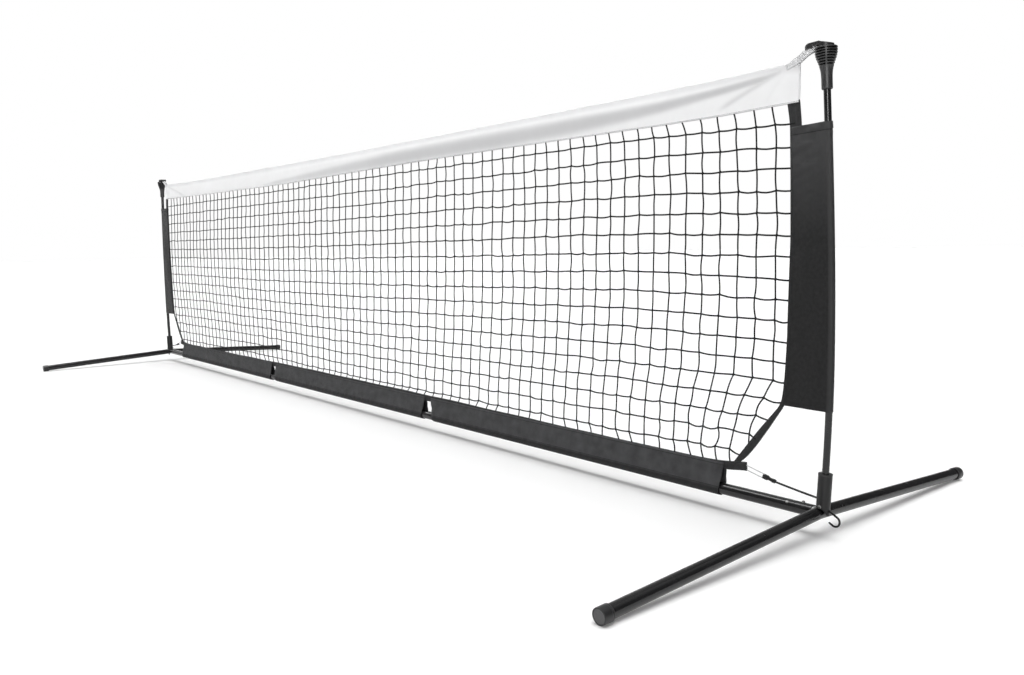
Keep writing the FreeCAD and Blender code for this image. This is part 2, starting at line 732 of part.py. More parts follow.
def pole_cup():
    bore = (pole_r + bore_gap) / math.cos(math.pi / head_sides)
    grooves = [groove_first + groove_pitch * i for i in range(groove_count)]
    below = [collar_height + (groove_first - collar_height) * i / flare_steps
             for i in range(flare_steps)]
    flare = [h for h in below + grooves if h < cup_rim_start] + [cup_rim_start]
    cup = turned([(0, head_bore_depth), (bore, head_bore_depth), (bore, 0),
                  (collar_radius - collar_bevel, 0), (collar_radius, collar_bevel)]
                 + [(cup_surface(h), h) for h in flare]
                 + [(cup_radius, cup_height - rim_bevel), (cup_radius - rim_bevel, cup_height),
                    (0, cup_height)], head_sides)
    webs = []
    for i in range(web_count):
        web = Part.makeBox(cup_radius * 2, web_width, cup_height, V(0, -web_width / 2, 0))
        web.rotate(V(0, 0, 0), V(0, 0, 1), first_web + 360 / web_count * i)
        webs.append(web)
    cuts = []
    for height in grooves:
        floor = cup_surface(height) - groove_depth
        low, high = height - groove_width / 2, height + groove_width / 2
        far = cup_radius + groove_depth
        ring = turned([(floor, low), (far, low), (far, high), (floor, high)], head_sides)
        cuts.append(ring.cut(Part.makeCompound(webs)))
    cup = cup.cut(Part.makeCompound(cuts))
    pocket = Part.makeBox(cup_radius * 2, 2 * pocket_half_width, cup_height,
                          V(-cup_radius * 2 - hook_cavity_end, -pocket_half_width, pocket_floor))
    return cup.cut(pocket)


cup = on_head(pole_cup())
save("pole_cup_right", cup)
save("pole_cup_left", mirrored(cup))


# Loop hooks. A smooth lid sits on the cup and reaches inboard as a hood that curls down. A prong
# under the hood points down and outboard, so that the pull of the loop seats it there.
def hood_block(inset, low, high):
    """A lid round the pole's axis that runs inboard to a narrower round tip, drawn in by inset."""
    big, small, reach = hook_lid_radius - inset, hook_tip_radius - inset, hook_tip_reach
    slope = math.asin((big - small) / reach)
    bx, by = -big * math.sin(slope), big * math.cos(slope)
    sx, sy = -reach - small * math.sin(slope), small * math.cos(slope)
    outline = Part.Wire([
        Part.Arc(V(bx, -by, low), V(big, 0, low), V(bx, by, low)).toShape(),
        Part.makeLine(V(bx, by, low), V(sx, sy, low)),
        Part.Arc(V(sx, sy, low), V(-reach - small, 0, low), V(sx, -sy, low)).toShape(),
        Part.makeLine(V(sx, -sy, low), V(bx, -by, low))])
    return Part.Face(outline).extrude(V(0, 0, high - low))


def hood_side(drop, low):
    """Side view of the hood, from its crown to its curled tip, drawn in from the top by drop."""
    tip = -hook_tip_reach - hook_tip_radius
    crown = V(-hook_crown_reach, 0, hook_top - drop)
    knee = V(-hook_knee_reach, 0, hook_top - hook_knee_drop - drop)
    brow = V(tip + hook_brow_reach, 0, hook_tip_top + hook_brow_rise - drop)
    nose = V(tip, 0, hook_tip_top - hook_nose_drop - drop)
    outer = V(hook_lid_radius, 0, hook_top - hook_back_drop - drop)
    edges = [Part.makeLine(V(hook_lid_radius, 0, low), outer), Part.makeLine(outer, crown),
             Part.makeLine(crown, knee),
             Part.Arc(knee, brow, nose).toShape(),
             Part.makeLine(nose, V(tip, 0, low)),
             Part.makeLine(V(tip, 0, low), V(hook_lid_radius, 0, low))]
    face = Part.Face(Part.Wire(edges))
    face.translate(V(0, -cup_radius, 0))
    return face.extrude(V(0, 2 * cup_radius, 0))


way = math.radians(strap_slope)
strap_way = V(math.cos(way), 0, math.sin(way))
strap_up = V(-math.sin(way), 0, math.cos(way))
prong_centre = strap_up * strap_line + strap_way * prong_station


def loop_hook():
    hood = hood_block(0, hook_skirt, hook_top + cut_spare).common(hood_side(0, hook_skirt))
    bulk = Part.makeCylinder(cup_radius * 2, cup_height, V(0, 0, 0))
    over_cup = Part.makeBox(cup_radius * 3, cup_radius * 2, cup_height,
                            V(-cup_radius - seat_gap, -cup_radius, 0)).common(bulk)
    hood = hood.cut(over_cup)
    hollow = hood_block(hook_wall, 0, hook_top).common(hood_side(hook_wall, 0))
    end = Part.makeBox(cup_radius * 3, cup_radius * 2, hook_top + cut_spare,
                       V(-hook_cavity_end, -cup_radius, 0))
    hood = hood.cut(hollow.cut(end))
    reach = strap_width / 2 + prong_spare
    prong = rod(prong_centre - strap_up * reach, prong_centre + strap_up * reach * 2, prong_radius)
    shell = hood_block(0, 0, hook_top + cut_spare).common(hood_side(0, 0))
    return hood.fuse(prong.common(shell)).removeSplitter()


hook = on_head(loop_hook())
save("loop_hook_right", hook)
save("loop_hook_left", mirrored(hook))


# White loops. Flat webbing lies round the prong, and its two tails are sewn into the tape.
def hook_loop():
    outline = hairpin(prong_radius + seat_gap / 2, loop_open, loop_tail_gap, strap_cloth,
                      loop_tail)
    strap = Part.Face(outline).extrude(V(0, 0, strap_width))
    strap.translate(V(0, 0, -strap_width / 2))
    base = FreeCAD.Matrix(strap_way.x, 0, strap_up.x, prong_centre.x,
                          0, 1, 0, 0,
                          strap_way.z, 0, strap_up.z, prong_centre.z,
                          0, 0, 0, 1)
    strap.transformShape(base, True)
    return strap


loop = hook_loop()
loop.Placement = FreeCAD.Placement(head_base, FreeCAD.Rotation(V(0, 0, 1), head_axis)).multiply(
    loop.Placement)
save("hook_loop_right", loop)
save("hook_loop_left", mirrored(loop))


# White tape. One strip of cloth is folded over the net's top edge, and its corners are drawn up
# by the loops.
def both_ways(points):
    """An outline that is alike on both sides of mid-net, from its right half."""
    return points + [(-x, z) for x, z in points[::-1] if x > 0]


corner_x = tape_end - tape_corner_drop
tape = slab(both_ways([(0, tape_bottom_mid), (tape_end, tape_bottom_end),
                       (tape_end, tape_top_end - tape_corner_drop), (corner_x, tape_top_end),
                       (tape_shoulder, tape_top_shoulder), (0, tape_top_mid)]),
            cover_half_gap + cloth)
inside = slab(both_ways([(0, tape_bottom_mid - cloth), (tape_end + cloth, tape_bottom_end - cloth),
                         (tape_end + cloth, tape_top_end - cloth),
                         (corner_x, tape_top_end - cloth),
                         (tape_shoulder, tape_top_shoulder - cloth), (0, tape_top_mid - cloth)]),
              cover_half_gap)
save("headband_tape", tape.cut(inside))

# Headline strap. Webbing inside the tape's top fold carries the pull from loop to loop.
headline_low = cloth + seat_gap + headline_width
headline_high = cloth + seat_gap
save("headline_strap", slab(both_ways([
    (0, tape_top_mid - headline_low), (tape_shoulder, tape_top_shoulder - headline_low),
    (corner_x, tape_top_end - headline_low - headline_dip),
    (corner_x, tape_top_end - headline_high - headline_dip),
    (tape_shoulder, tape_top_shoulder - headline_high), (0, tape_top_mid - headline_high)]),
    headline_half))

# Edge bindings. Webbing is folded over each side of the net, down to the corner of the bottom
# webbing.
webbing_right = webbing_line
webbing_left = [(-x, z) for x, z in webbing_line[:0:-1]]
webbing_path = webbing_left + webbing_right
webbing_half = webbing_width / 2
binding = slab(binding_inner + binding_outer[::-1], binding_half_gap + cloth)
slot_inner = [(x - binding_fold, z) for x, z in binding_inner]
slot_outer = [(x - binding_fold, z) for x, z in binding_outer]
slot_top = (slot_outer[0][0], slot_outer[0][1] + binding_fold)
slot_inner[0] = (slot_inner[0][0], slot_top[1])
binding = binding.cut(slab(slot_inner + slot_outer[:0:-1] + [slot_top], binding_half_gap))
corner = slab(band(webbing_path, webbing_half + lap_gap, webbing_half), tube_r)
binding = max(binding.cut(corner).Solids, key=lambda solid: solid.Volume)
save("edge_binding_right", binding)
save("edge_binding_left", mirrored(binding))

# Bottom webbing. A folded strip holds the net's lower edge, and its ends are the corner tabs.
webbing = slab(band(webbing_path, webbing_half, webbing_half), binding_half_gap + cloth)
fold_path = [(x, z + webbing_fold) for x, z in webbing_path]
tab_x, tab_z = webbing_line[-1]
fold_path[0] = (-tab_x - tab_opening, tab_z - webbing_fold)
fold_path[-1] = (tab_x + tab_opening, tab_z - webbing_fold)
webbing = webbing.cut(slab(band(fold_path, webbing_half + 2 * webbing_fold, webbing_half),
                           binding_half_gap))
save("bottom_webbing", webbing)


# Net. One sheet with square gaps. Its lower corners are cut off along the bindings.
def inside_of(points, line):
    """Keeps the part of an (x, z) polygon that lies left of a line of two points."""
    (x0, z0), (x1, z1) = line
    kept = []
    for i, a in enumerate(points):
        b = points[(i + 1) % len(points)]
        side_a = (x1 - x0) * (a[1] - z0) - (z1 - z0) * (a[0] - x0)
        side_b = (x1 - x0) * (b[1] - z0) - (z1 - z0) * (b[0] - x0)
        if side_a >= 0:
            kept.append(a)
        if (side_a >= 0) != (side_b >= 0):
            share = side_a / (side_a - side_b)
            kept.append((a[0] + (b[0] - a[0]) * share, a[1] + (b[1] - a[1]) * share))
    return kept


mesh_edge = [((x0 + x1) / 2, (z0 + z1) / 2) for (x0, z0), (x1, z1) in
             zip(binding_inner, binding_outer)]
mesh_corner = mesh_edge[-1]
right_side = [(mesh_edge[0][0], mesh_top)] + mesh_edge[1:-1]
run = (mesh_edge[-2][1] - mesh_bottom) / (mesh_edge[-2][1] - mesh_corner[1])
foot_x = mesh_edge[-2][0] + (mesh_corner[0] - mesh_edge[-2][0]) * run
right_side.append((foot_x, mesh_bottom))
outline = right_side + [(-x, z) for x, z in right_side[::-1]]
clip_lines = []
for a, b in zip(binding_inner[2:], binding_inner[3:]):
    clip_lines += [(b, a), ((-a[0], a[1]), (-b[0], b[1]))]

window_half = binding_inner[1][0]
column = 2 * window_half / mesh_columns
row = (window_top - window_bottom) / mesh_rows
wires = [Part.makePolygon([V(x, -mesh_half, z) for x, z in outline + outline[:1]])]
for i in range(mesh_columns):
    for j in range(mesh_rows):
        x0 = -window_half + column * i + mesh_strand / 2
        z0 = window_bottom + row * j + mesh_strand / 2
        x1, z1 = x0 + column - mesh_strand, z0 + row - mesh_strand
        gap = [(x0, z0), (x1, z0), (x1, z1), (x0, z1)]
        for line in clip_lines:
            gap = inside_of(gap, line)
        if len(gap) < 3:
            continue
        wide = max(p[0] for p in gap) - min(p[0] for p in gap)
        high = max(p[1] for p in gap) - min(p[1] for p in gap)
        if min(wide, high) > least_gap:
            wires.append(Part.makePolygon([V(x, -mesh_half, z) for x, z in gap + gap[:1]]))
mesh = Part.makeFace(wires, "Part::FaceMakerBullseye").extrude(V(0, 2 * mesh_half, 0))
mesh = mesh.cut(slab(band(webbing_path, webbing_fold + seat_gap - webbing_half,
                          webbing_width), cover_half_gap))
print("mesh gaps", len(wires) - 1)
save("net_mesh", mesh)


# Side sleeves. Cloth is sewn to the binding, lies round the pole and comes back.
def sleeve_outline(height):
    share = (sleeve_top - height) / (sleeve_top - sleeve_bottom)
    edge = hub_x - sleeve_edge_top + (sleeve_edge_top - sleeve_edge_bottom) * share
    centre = pole_x(height)
    wire = hairpin(pole_r + sleeve_gap, centre - edge, cover_half_gap, cloth)
    wire.translate(V(centre, 0, height))
    return wire


heights = [sleeve_bottom + (sleeve_top - sleeve_bottom) * i / (sleeve_sections - 1)
           for i in range(sleeve_sections)]
sleeve = Part.makeLoft([sleeve_outline(height) for height in heights], True, True)
save("side_sleeve_right", sleeve)
save("side_sleeve_left", mirrored(sleeve))


# Bar skirts. Each is a loop of cloth that hangs from the bottom webbing and holds the bar.
def skirt(start, end):
    outline = hairpin(tube_r + skirt_gap, skirt_top - hub_height, cover_half_gap, cloth)
    panel = Part.Face(outline).extrude(V(0, 0, end - start))
    panel.transformShape(FreeCAD.Matrix(0, 0, 1, start, 0, 1, 0, 0, -1, 0, 0, hub_height,
                                        0, 0, 0, 1), True)
    return panel


for word, start, end in skirt_ends:
    save("bar_skirt_" + word, skirt(start, end))

# Corner tensioners. A wire ring is sewn into the webbing's tab, a snap clip takes the ring, and
# an elastic cord ties the clip to the socket, where it is knotted inside.
ring_a = V(ring_start[0], 0, ring_start[1])
ring_b = V(ring_end[0], 0, ring_end[1])
ring_up = V(-clip_way.z, 0, clip_way.x)
ring_half = ring_width / 2


def tension_ring(wire_radius):
    """Oblong ring: four straight runs and four quarter bends."""
    inset = ring_half - ring_corner_radius
    near = ring_a + clip_way * ring_corner_radius
    far = ring_b - clip_way * ring_corner_radius
    points = [(near + far) * 0.5 + ring_up * ring_half]
    for centre, first, second in ((far + ring_up * inset, ring_up, clip_way),
                                  (far - ring_up * inset, clip_way, ring_up * -1),
                                  (near - ring_up * inset, ring_up * -1, clip_way * -1),
                                  (near + ring_up * inset, clip_way * -1, ring_up)):
        points += turn_points(centre, first, second, ring_corner_radius, ring_bends)
    return wire_form(points, wire_radius, True)


def tension_clip():
    """Moulded clip: a wide nose with a snap-in seat for the ring, a narrow waist and a tail."""
    nose = ring_b - clip_way * clip_hole_setback
    upper = [nose + clip_way * along + ring_up * half for along, half in clip_line]
    lower = [nose + clip_way * along - ring_up * half for along, half in clip_line[::-1]]
    block = Part.Face(Part.makePolygon(upper + lower + upper[:1]))
    block.translate(V(0, -clip_thickness / 2, 0))
    block = block.extrude(V(0, clip_thickness, 0))
    across = ring_up * clip_height
    slit = Part.Face(Part.makePolygon([ring_b - across, ring_b + across,
                                       nose - clip_way + across, nose - clip_way - across,
                                       ring_b - across]))
    slit.translate(V(0, -clip_mouth / 2, 0))
    block = block.cut(slit.extrude(V(0, clip_mouth, 0)))
    block = block.cut(tension_ring(ring_wire_radius + clip_hole_gap))
    return block.cut(rod(elastic_start, clip_end + cord_way * elastic_seat,
                         elastic_radius + clip_hole_gap))


def cord_knot():
    """Stopper knot inside the socket, drawn as the rounded bead that it makes."""
    bead = turned([(0, 0), (knot_radius - knot_bevel, 0), (knot_radius, knot_bevel),
                   (knot_radius, knot_length - knot_bevel),
                   (knot_radius - knot_bevel, knot_length), (0, knot_length)], rivet_sides)
    bead.Placement = FreeCAD.Placement(elastic_stop, FreeCAD.Rotation(V(0, 0, 1), cord_way))
    return bead


elastic_start = clip_end - cord_way * elastic_seat
elastic = rod(elastic_start, elastic_stop, elastic_radius)
for name, piece in (("tension_ring", tension_ring(ring_wire_radius)),
                    ("tension_clip", tension_clip()), ("elastic_cord", elastic),
                    ("cord_knot", cord_knot())):
    save(name + "_right", piece)
    save(name + "_left", mirrored(piece))
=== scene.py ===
import math

import bmesh
import bpy
import numpy as np
from mathutils import Matrix, Vector


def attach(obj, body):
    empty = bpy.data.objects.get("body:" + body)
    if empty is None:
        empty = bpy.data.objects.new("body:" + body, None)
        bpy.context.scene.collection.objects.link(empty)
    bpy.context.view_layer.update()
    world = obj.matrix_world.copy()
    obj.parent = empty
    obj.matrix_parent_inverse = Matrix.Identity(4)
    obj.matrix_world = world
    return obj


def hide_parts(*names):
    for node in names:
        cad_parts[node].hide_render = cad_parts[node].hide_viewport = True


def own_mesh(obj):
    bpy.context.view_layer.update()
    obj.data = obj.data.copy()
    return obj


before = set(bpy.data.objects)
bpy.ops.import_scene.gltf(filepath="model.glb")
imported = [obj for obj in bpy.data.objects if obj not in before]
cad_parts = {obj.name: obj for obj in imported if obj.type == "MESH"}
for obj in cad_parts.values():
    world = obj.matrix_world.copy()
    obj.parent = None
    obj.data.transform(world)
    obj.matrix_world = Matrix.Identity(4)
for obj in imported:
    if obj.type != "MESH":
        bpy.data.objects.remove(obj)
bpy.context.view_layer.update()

# Camera. It stands off the net's right end, in front of it and a little above the bar, and its
# place was solved from the frame's tubes in the photograph.
scene = bpy.context.scene
mm = 0.001
picture_width = 1024
focal_pixels = 863.23
yaw, pitch, roll = 0.8804, 0.1055, -0.0152
ahead = Vector((-math.sin(yaw) * math.cos(pitch), math.cos(yaw) * math.cos(pitch),
                -math.sin(pitch)))
level = Vector((math.cos(yaw), math.sin(yaw), 0))
upward = level.cross(ahead)
right_way = level * math.cos(roll) + upward * math.sin(roll)
up_way = upward * math.cos(roll) - level * math.sin(roll)
camera_data = bpy.data.cameras.new("camera")
camera_data.sensor_width = 36
camera_data.lens = camera_data.sensor_width * focal_pixels / picture_width
camera_data.clip_end = 200
camera = bpy.data.objects.new("camera", camera_data)
camera.matrix_world = Matrix((right_way, up_way, -ahead)).transposed().to_4x4()
camera.location = (2.68578, -1.45487, 0.55455)
scene.collection.objects.link(camera)
scene.camera = camera
scene.view_settings.view_transform = "Standard"


# Elastic cords. A short covered elastic cord ties each corner clip to its pole socket, drawn
# tight, and ends in a stopper knot inside the socket's wall.
both_sides = (("right", 1), ("left", -1))


def shader_of(material):
    """A material's tree and its shader."""
    return material.node_tree, material.node_tree.nodes["Principled BSDF"]


def new_finish(name, roughness, metallic=0.0, specular=0.5):
    """A new material. Returns the material, its tree and its shader."""
    material = bpy.data.materials.new(name)
    material.use_nodes = True
    tree, shader = shader_of(material)
    shader.inputs["Roughness"].default_value = roughness
    shader.inputs["Metallic"].default_value = metallic
    shader.inputs["Specular IOR Level"].default_value = specular
    return material, tree, shader


def add_node(tree, kind, values=None, **settings):
    """A node with its settings. Each input in values, by name or number, takes a value or a
    socket."""
    node = tree.nodes.new("ShaderNode" + kind)
    for key, value in settings.items():
        setattr(node, key, value)
    for key, value in (values or {}).items():
        if isinstance(value, bpy.types.NodeSocket):
            tree.links.new(value, node.inputs[key])
        else:
            node.inputs[key].default_value = value
    return node


def place_source(tree, source):
    """Object coordinates, or the piece's own UV map, whose unit is the metre."""
    return add_node(tree, "TexCoord").outputs[source]


def noise(tree, where, scale, detail):
    """A noise from 0 to 1, of a scale in 1/m."""
    values = {"Vector": where, "Scale": scale, "Detail": detail}
    return add_node(tree, "TexNoise", values).outputs["Fac"]


def mixed(tree, share, low, high, **settings):
    """Goes from low to high with a mask. Each of the two is a colour or a socket."""
    low, high = [(*side, 1) if isinstance(side, tuple) else side for side in (low, high)]
    values = {"Factor": share, "A": low, "B": high}
    return add_node(tree, "Mix", values, data_type="RGBA", **settings).outputs["Result"]


def mottled_colour(tree, shader, where, dark, light, scale, detail=4.0):
    """Base colour that wanders between two colours with a noise of a scale in 1/m."""
    colour = mixed(tree, noise(tree, where, scale, detail), dark, light)
    tree.links.new(colour, shader.inputs["Base Color"])


def add_bump(tree, shader, height, strength, distance):
    """Lays a height field on the shader's normal, over the bump that it has already."""
    values = {"Strength": strength, "Distance": distance, "Height": height}
    for link in shader.inputs["Normal"].links:
        values["Normal"] = link.from_socket
    bump = add_node(tree, "Bump", values)
    tree.links.new(bump.outputs["Normal"], shader.inputs["Normal"])


def surface(name, grid, material, uv=None, close_u=False, close_v=False, flip=False,
            thickness=0.0, body="net_frame", shade=None):
    """A piece made of a grid of points, shape (rows, columns, 3) in mm: each cell is one face.
    close_u and close_v join the last row or column to the first. uv is one more row or column
    long where the grid closes. A thickness gives the sheet a wall, half to each side. shade is
    a second map of shares from 0 to 1."""
    rows, columns = grid.shape[:2]
    i, j = np.meshgrid(np.arange(rows - 1 + close_u), np.arange(columns - 1 + close_v),
                       indexing="ij")
    corners = [(i, j), (i + 1, j), (i + 1, j + 1), (i, j + 1)]
    if flip:
        corners = corners[::-1]
    faces = np.stack([(a % rows) * columns + b % columns for a, b in corners], -1).reshape(-1, 4)
    mesh = bpy.data.meshes.new(name)
    mesh.from_pydata((grid.reshape(-1, 3) * mm).tolist(), [], faces.tolist())
    for word, places, unit_size in (("UVMap", uv, mm), ("shade", shade, 1)):
        if places is not None:
            layer = mesh.uv_layers.new(name=word)
            values = np.stack([places[a, b] for a, b in corners], -2).reshape(-1, 2)
            layer.data.foreach_set("uv", (values * unit_size).ravel())
    if shade is not None:
        mesh.uv_layers["UVMap"].active = True
        mesh.uv_layers["UVMap"].active_render = True
    return finished(name, mesh, material, thickness, body)


def finished(name, mesh, material, thickness=0.0, body="net_frame"):
    """Puts a mesh into the scene as a smooth piece of its body, with its material and wall."""
    mesh.shade_smooth()
    mesh.materials.append(material)
    piece = bpy.data.objects.new(name, mesh)
    scene.collection.objects.link(piece)
    if thickness:
        wall = piece.modifiers.new("cloth", "SOLIDIFY")
        wall.thickness = thickness * mm
        wall.offset = 0
    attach(piece, body)
    return piece


def stand_in(piece, node):
    """Hides the node that a piece takes the place of."""
    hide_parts(node)


def unit(ways):
    """Each way at a length of 1."""
    return ways / np.linalg.norm(ways, axis=-1, keepdims=True)


def full_turn(count):
    """Even angles once round."""
    return np.linspace(0, 2 * math.pi, count, endpoint=False)


def tube_rings(path, radius, sides, closed=False):
    """Rings round a path of points in mm, shape (points, sides, 3). Each ring is square to the
    path: a circle in the plane of two directions, one level and one square to both."""
    if closed:
        along = unit(np.roll(path, -1, 0) - np.roll(path, 1, 0))
    else:
        along = unit(np.gradient(path, axis=0))
    across = unit(np.array([0.0, 1.0, 0.0]) - along * along[:, 1:2])
    other = np.cross(along, across)
    turn = full_turn(sides)[None, :, None]
    radius = np.broadcast_to(np.asarray(radius, float), (len(path),))[:, None, None]
    return path[:, None] + radius * (np.cos(turn) * across[:, None] + np.sin(turn) * other[:, None])


def merged(piece, reach=1e-7):
    """Joins a mesh's points that lie within a reach in metres, so that closed ends and seams are
    whole."""
    work = bmesh.new()
    work.from_mesh(piece.data)
    bmesh.ops.remove_doubles(work, verts=work.verts, dist=reach)
    work.to_mesh(piece.data)
    work.free()
    return piece


elastic_diameter = 4.0
cord_route = [(1729.15, 0, 85.10), (1777.8, 0, 77.6), (1826.4, 0, 72.0)]
knot_x_mid, knot_z_mid, knot_depth, knot_size, strand_radius = 1829.2, 71.6, 1.1, 0.62, 1.45

elastic_finish, tree, shader = new_finish("covered elastic", 0.6, specular=0.35)
where = place_source(tree, "Object")
mottled_colour(tree, shader, where, (0.006, 0.006, 0.0065), (0.015, 0.015, 0.016), 900)
braid = add_node(tree, "TexWave", {"Vector": where, "Scale": 380, "Distortion": 1.5},
                 bands_direction="DIAGONAL")
add_bump(tree, shader, braid.outputs["Fac"], 0.5, 0.0003)

for side, sign in both_sides:
    curve = bpy.data.curves.new("elastic_cord_" + side + "_line", "CURVE")
    curve.dimensions = "3D"
    curve.bevel_depth = elastic_diameter / 2 * mm
    curve.bevel_resolution = 3
    curve.resolution_u = 12
    curve.use_fill_caps = True
    spline = curve.splines.new("NURBS")
    spline.points.add(len(cord_route) - 1)
    for point, (x, y, z) in zip(spline.points, cord_route):
        point.co = (sign * x * mm, y * mm, z * mm, 1)
    spline.order_u = 3
    spline.use_endpoint_u = True
    curve.materials.append(elastic_finish)
    cord = bpy.data.objects.new("elastic_" + side, curve)
    scene.collection.objects.link(cord)
    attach(cord, "net_frame")
    stand_in(cord, "elastic_cord_" + side)
    turn = full_turn(72)
    knot_line = np.stack([knot_x_mid + knot_depth * np.sin(3 * turn),
                          knot_size * (np.sin(turn) + 2 * np.sin(2 * turn)),
                          knot_z_mid + knot_size * (np.cos(turn) - 2 * np.cos(2 * turn))], -1)
    knot = surface("knot_" + side, tube_rings(knot_line * [sign, 1, 1], strand_radius, 10, True),
                   elastic_finish, close_u=True, close_v=True, flip=sign < 0)
    stand_in(knot, "cord_knot_" + side)

# Floor and light. A white floor that keeps soft shadows, three broad lamps overhead, a ring of
# soft light near the horizon, and two strip lamps that draw highlights on the upright pieces and
# the bar. The paint and the steel reflect the floor, a pale back wall, dark walls elsewhere and a
# softly lit ceiling.
def worked_out(tree, operation, *values):
    """The result of an operation on one or two numbers or sockets."""
    return add_node(tree, "Math", dict(enumerate(values)), operation=operation).outputs[0]


def one_axis(tree, vector, axis):
    """One coordinate of a vector socket."""
    return add_node(tree, "SeparateXYZ", {0: vector}).outputs[axis]


def ramped(tree, value, start, stop, low=0.0, high=1.0):
    """Goes in a straight line from low to high while a value goes from start to stop."""
    values = {"Value": value, "From Min": start, "From Max": stop, "To Min": low, "To Max": high}
    return add_node(tree, "MapRange", values).outputs["Result"]


def blended(tree, share, low, high):
    """Goes from low to high with a mask. Each of the two is a number or a socket."""
    values = {"Factor": share, "A": low, "B": high}
    return add_node(tree, "Mix", values, data_type="FLOAT").outputs["Result"]


floor_finish, tree, shader = new_finish("studio floor", 0.9, specular=0.0)
ray = add_node(tree, "LightPath").outputs
tone = blended(tree, ray["Is Camera Ray"], blended(tree, ray["Is Glossy Ray"], 0.44, 0.72), 0.97)
grey = add_node(tree, "CombineColor", {"Red": tone, "Green": tone, "Blue": tone})
tree.links.new(grey.outputs["Color"], shader.inputs["Base Color"])
lift = blended(tree, ray["Is Glossy Ray"], blended(tree, ray["Is Camera Ray"], 0.0, 0.07), 0.2)
shader.inputs["Emission Color"].default_value = (1, 1, 1, 1)
tree.links.new(lift, shader.inputs["Emission Strength"])
half = 60.0
floor_mesh = bpy.data.meshes.new("floor")
floor_mesh.from_pydata([(-half, -half, 0), (half, -half, 0), (half, half, 0), (-half, half, 0)],
                       [], [(0, 1, 2, 3)])
floor_mesh.materials.append(floor_finish)
floor = bpy.data.objects.new("floor", floor_mesh)
scene.collection.objects.link(floor)

world = bpy.data.worlds.new("studio")
scene.world = world
world.use_nodes = True
tree = world.node_tree
back = tree.nodes["Background"]
back.inputs["Color"].default_value = (1, 1, 1, 1)
around = place_source(tree, "Generated")
height = one_axis(tree, around, "Z")
horizon_ring = ramped(tree, height, 0.18, 0.26, 2.7, 0.02)
ceiling = ramped(tree, height, 0.5, 0.95, 0.06, 0.8)
front = ramped(tree, one_axis(tree, around, "Y"), -1.0, 1.0, 1.85, 0.15)
back_way = add_node(tree, "VectorMath", {0: around, 1: (-0.97, 0.26, 0.0)},
                    operation="DOT_PRODUCT")
back_wall = ramped(tree, back_way.outputs["Value"], 0.55, 0.95)
ray = add_node(tree, "LightPath").outputs
mirrored_ray = worked_out(tree, "MAXIMUM", ray["Is Glossy Ray"], ray["Is Transmission Ray"])
lit = blended(tree, mirrored_ray, worked_out(tree, "MULTIPLY", horizon_ring, front),
              worked_out(tree, "ADD", back_wall, ceiling))
tree.links.new(blended(tree, ray["Is Camera Ray"], lit, 1.0), back.inputs["Strength"])


def new_lamp(name, kind, energy, turn, **settings):
    """A lamp with its settings, turned by angles in degrees."""
    data = bpy.data.lights.new(name, kind)
    data.energy = energy
    for key, value in settings.items():
        setattr(data, key, value)
    lamp = bpy.data.objects.new(name, data)
    lamp.rotation_euler = [math.radians(angle) for angle in turn]
    scene.collection.objects.link(lamp)
    return lamp


for word, lean in (("left", 14), ("middle", 0), ("right", -14)):
    overhead = new_lamp(word + " overhead lamp", "SUN", 1.0, (-2.5, lean, 0),
                        angle=math.radians(46))
    overhead.visible_glossy = False

for word, across, along, watts, place, turn in (
        ("upright", 0.8, 3.2, 130, (4.28, -3.77, 1.7), (90, 0, 33)),
        ("bar", 5.5, 0.4, 100, (-2.2, -0.56, 3.0), (0, 0, 0))):
    strip = new_lamp(word + " strip lamp", "AREA", watts, turn, shape="RECTANGLE", size=across,
                     size_y=along)
    strip.location = place
    strip.visible_diffuse = False
    strip.visible_camera = False

# Net. Black knotted twine, 79 cords up and 17 across. It hangs slack: the cords lean along the
# net, the rows sag, and both bow between their knots. Their ends run into the edges' cloth.
radius_up = 1.65
radius_across = 1.85
cords_up = 79
cords_across = 17
pitch_across = 44.45
pitch_up = 41.1
lowest_row = 124.5
edge_overlap = 5.0
net_chance = np.random.default_rng(11)
edge_path_z = np.array([109.0, 182.0, 240.0, 500.0, 775.0, 822.0])
edge_path_x = np.array([1645.0, 1701.0, 1746.0, 1765.0, 1763.0, 1757.0])
tape_low_x = np.array([-1771.0, -700.0, -400.0, 0.0, 300.0, 600.0, 900.0, 1450.0, 1600.0, 1771.0])
tape_low_z = np.array([812.0, 802.3, 801.0, 804.5, 807.3, 809.0, 808.7, 806.2, 807.1, 811.6])


def blend_in(value, low, high):
    """0 below low, 1 above high, and a smooth ramp between."""
    t = np.clip((value - low) / (high - low), 0, 1)
    return t * t * (3 - 2 * t)


# How far the cords lean along the net, at places along it (rows) and heights (columns), in mm.
lean_x = np.array([-1700.0, -1200.0, -600.0, 0.0, 600.0, 1200.0, 1500.0, 1700.0])
lean_z = np.array([134.0, 214.0, 290.0, 433.0, 597.0, 680.0, 780.0])
lean_along = np.array([[46, 44, 38, 24, 32, 42, 54], [32, 27, 20, 11, 14, 26, 42],
                       [8, 10, 8, 8, 18, 26, 38], [-2, 4, 9, 14, 20, 26, 33],
                       [-4, 4, 11, 23, 29, 34, 37], [-8, -4, 6, 17, 20, 24, 22],
                       [-14, -9, 6, 15, 17, 18, 14], [-50, -24, 11, 14, 13, 12, 8.0]])
# How far the rows sag, the same way.
sag_x = np.array([-1700.0, -1300.0, -700.0, 0.0, 600.0, 1350.0, 1700.0])
sag_z = np.array([134.0, 180.0, 340.0, 500.0, 660.0, 780.0])
sag_down = np.array([[3, 6, 12, 12, 12, 6], [2, 6, 8, 16, 12, 6], [-2, 1, 20, 20, 8, 3],
                     [6, 12, 21, 17, 5, 0], [5, 10, 14, 10, -2, -2], [0, 0, 3, 0, -3, -2],
                     [-9, -6, 7, 9, 6, 7.0]])


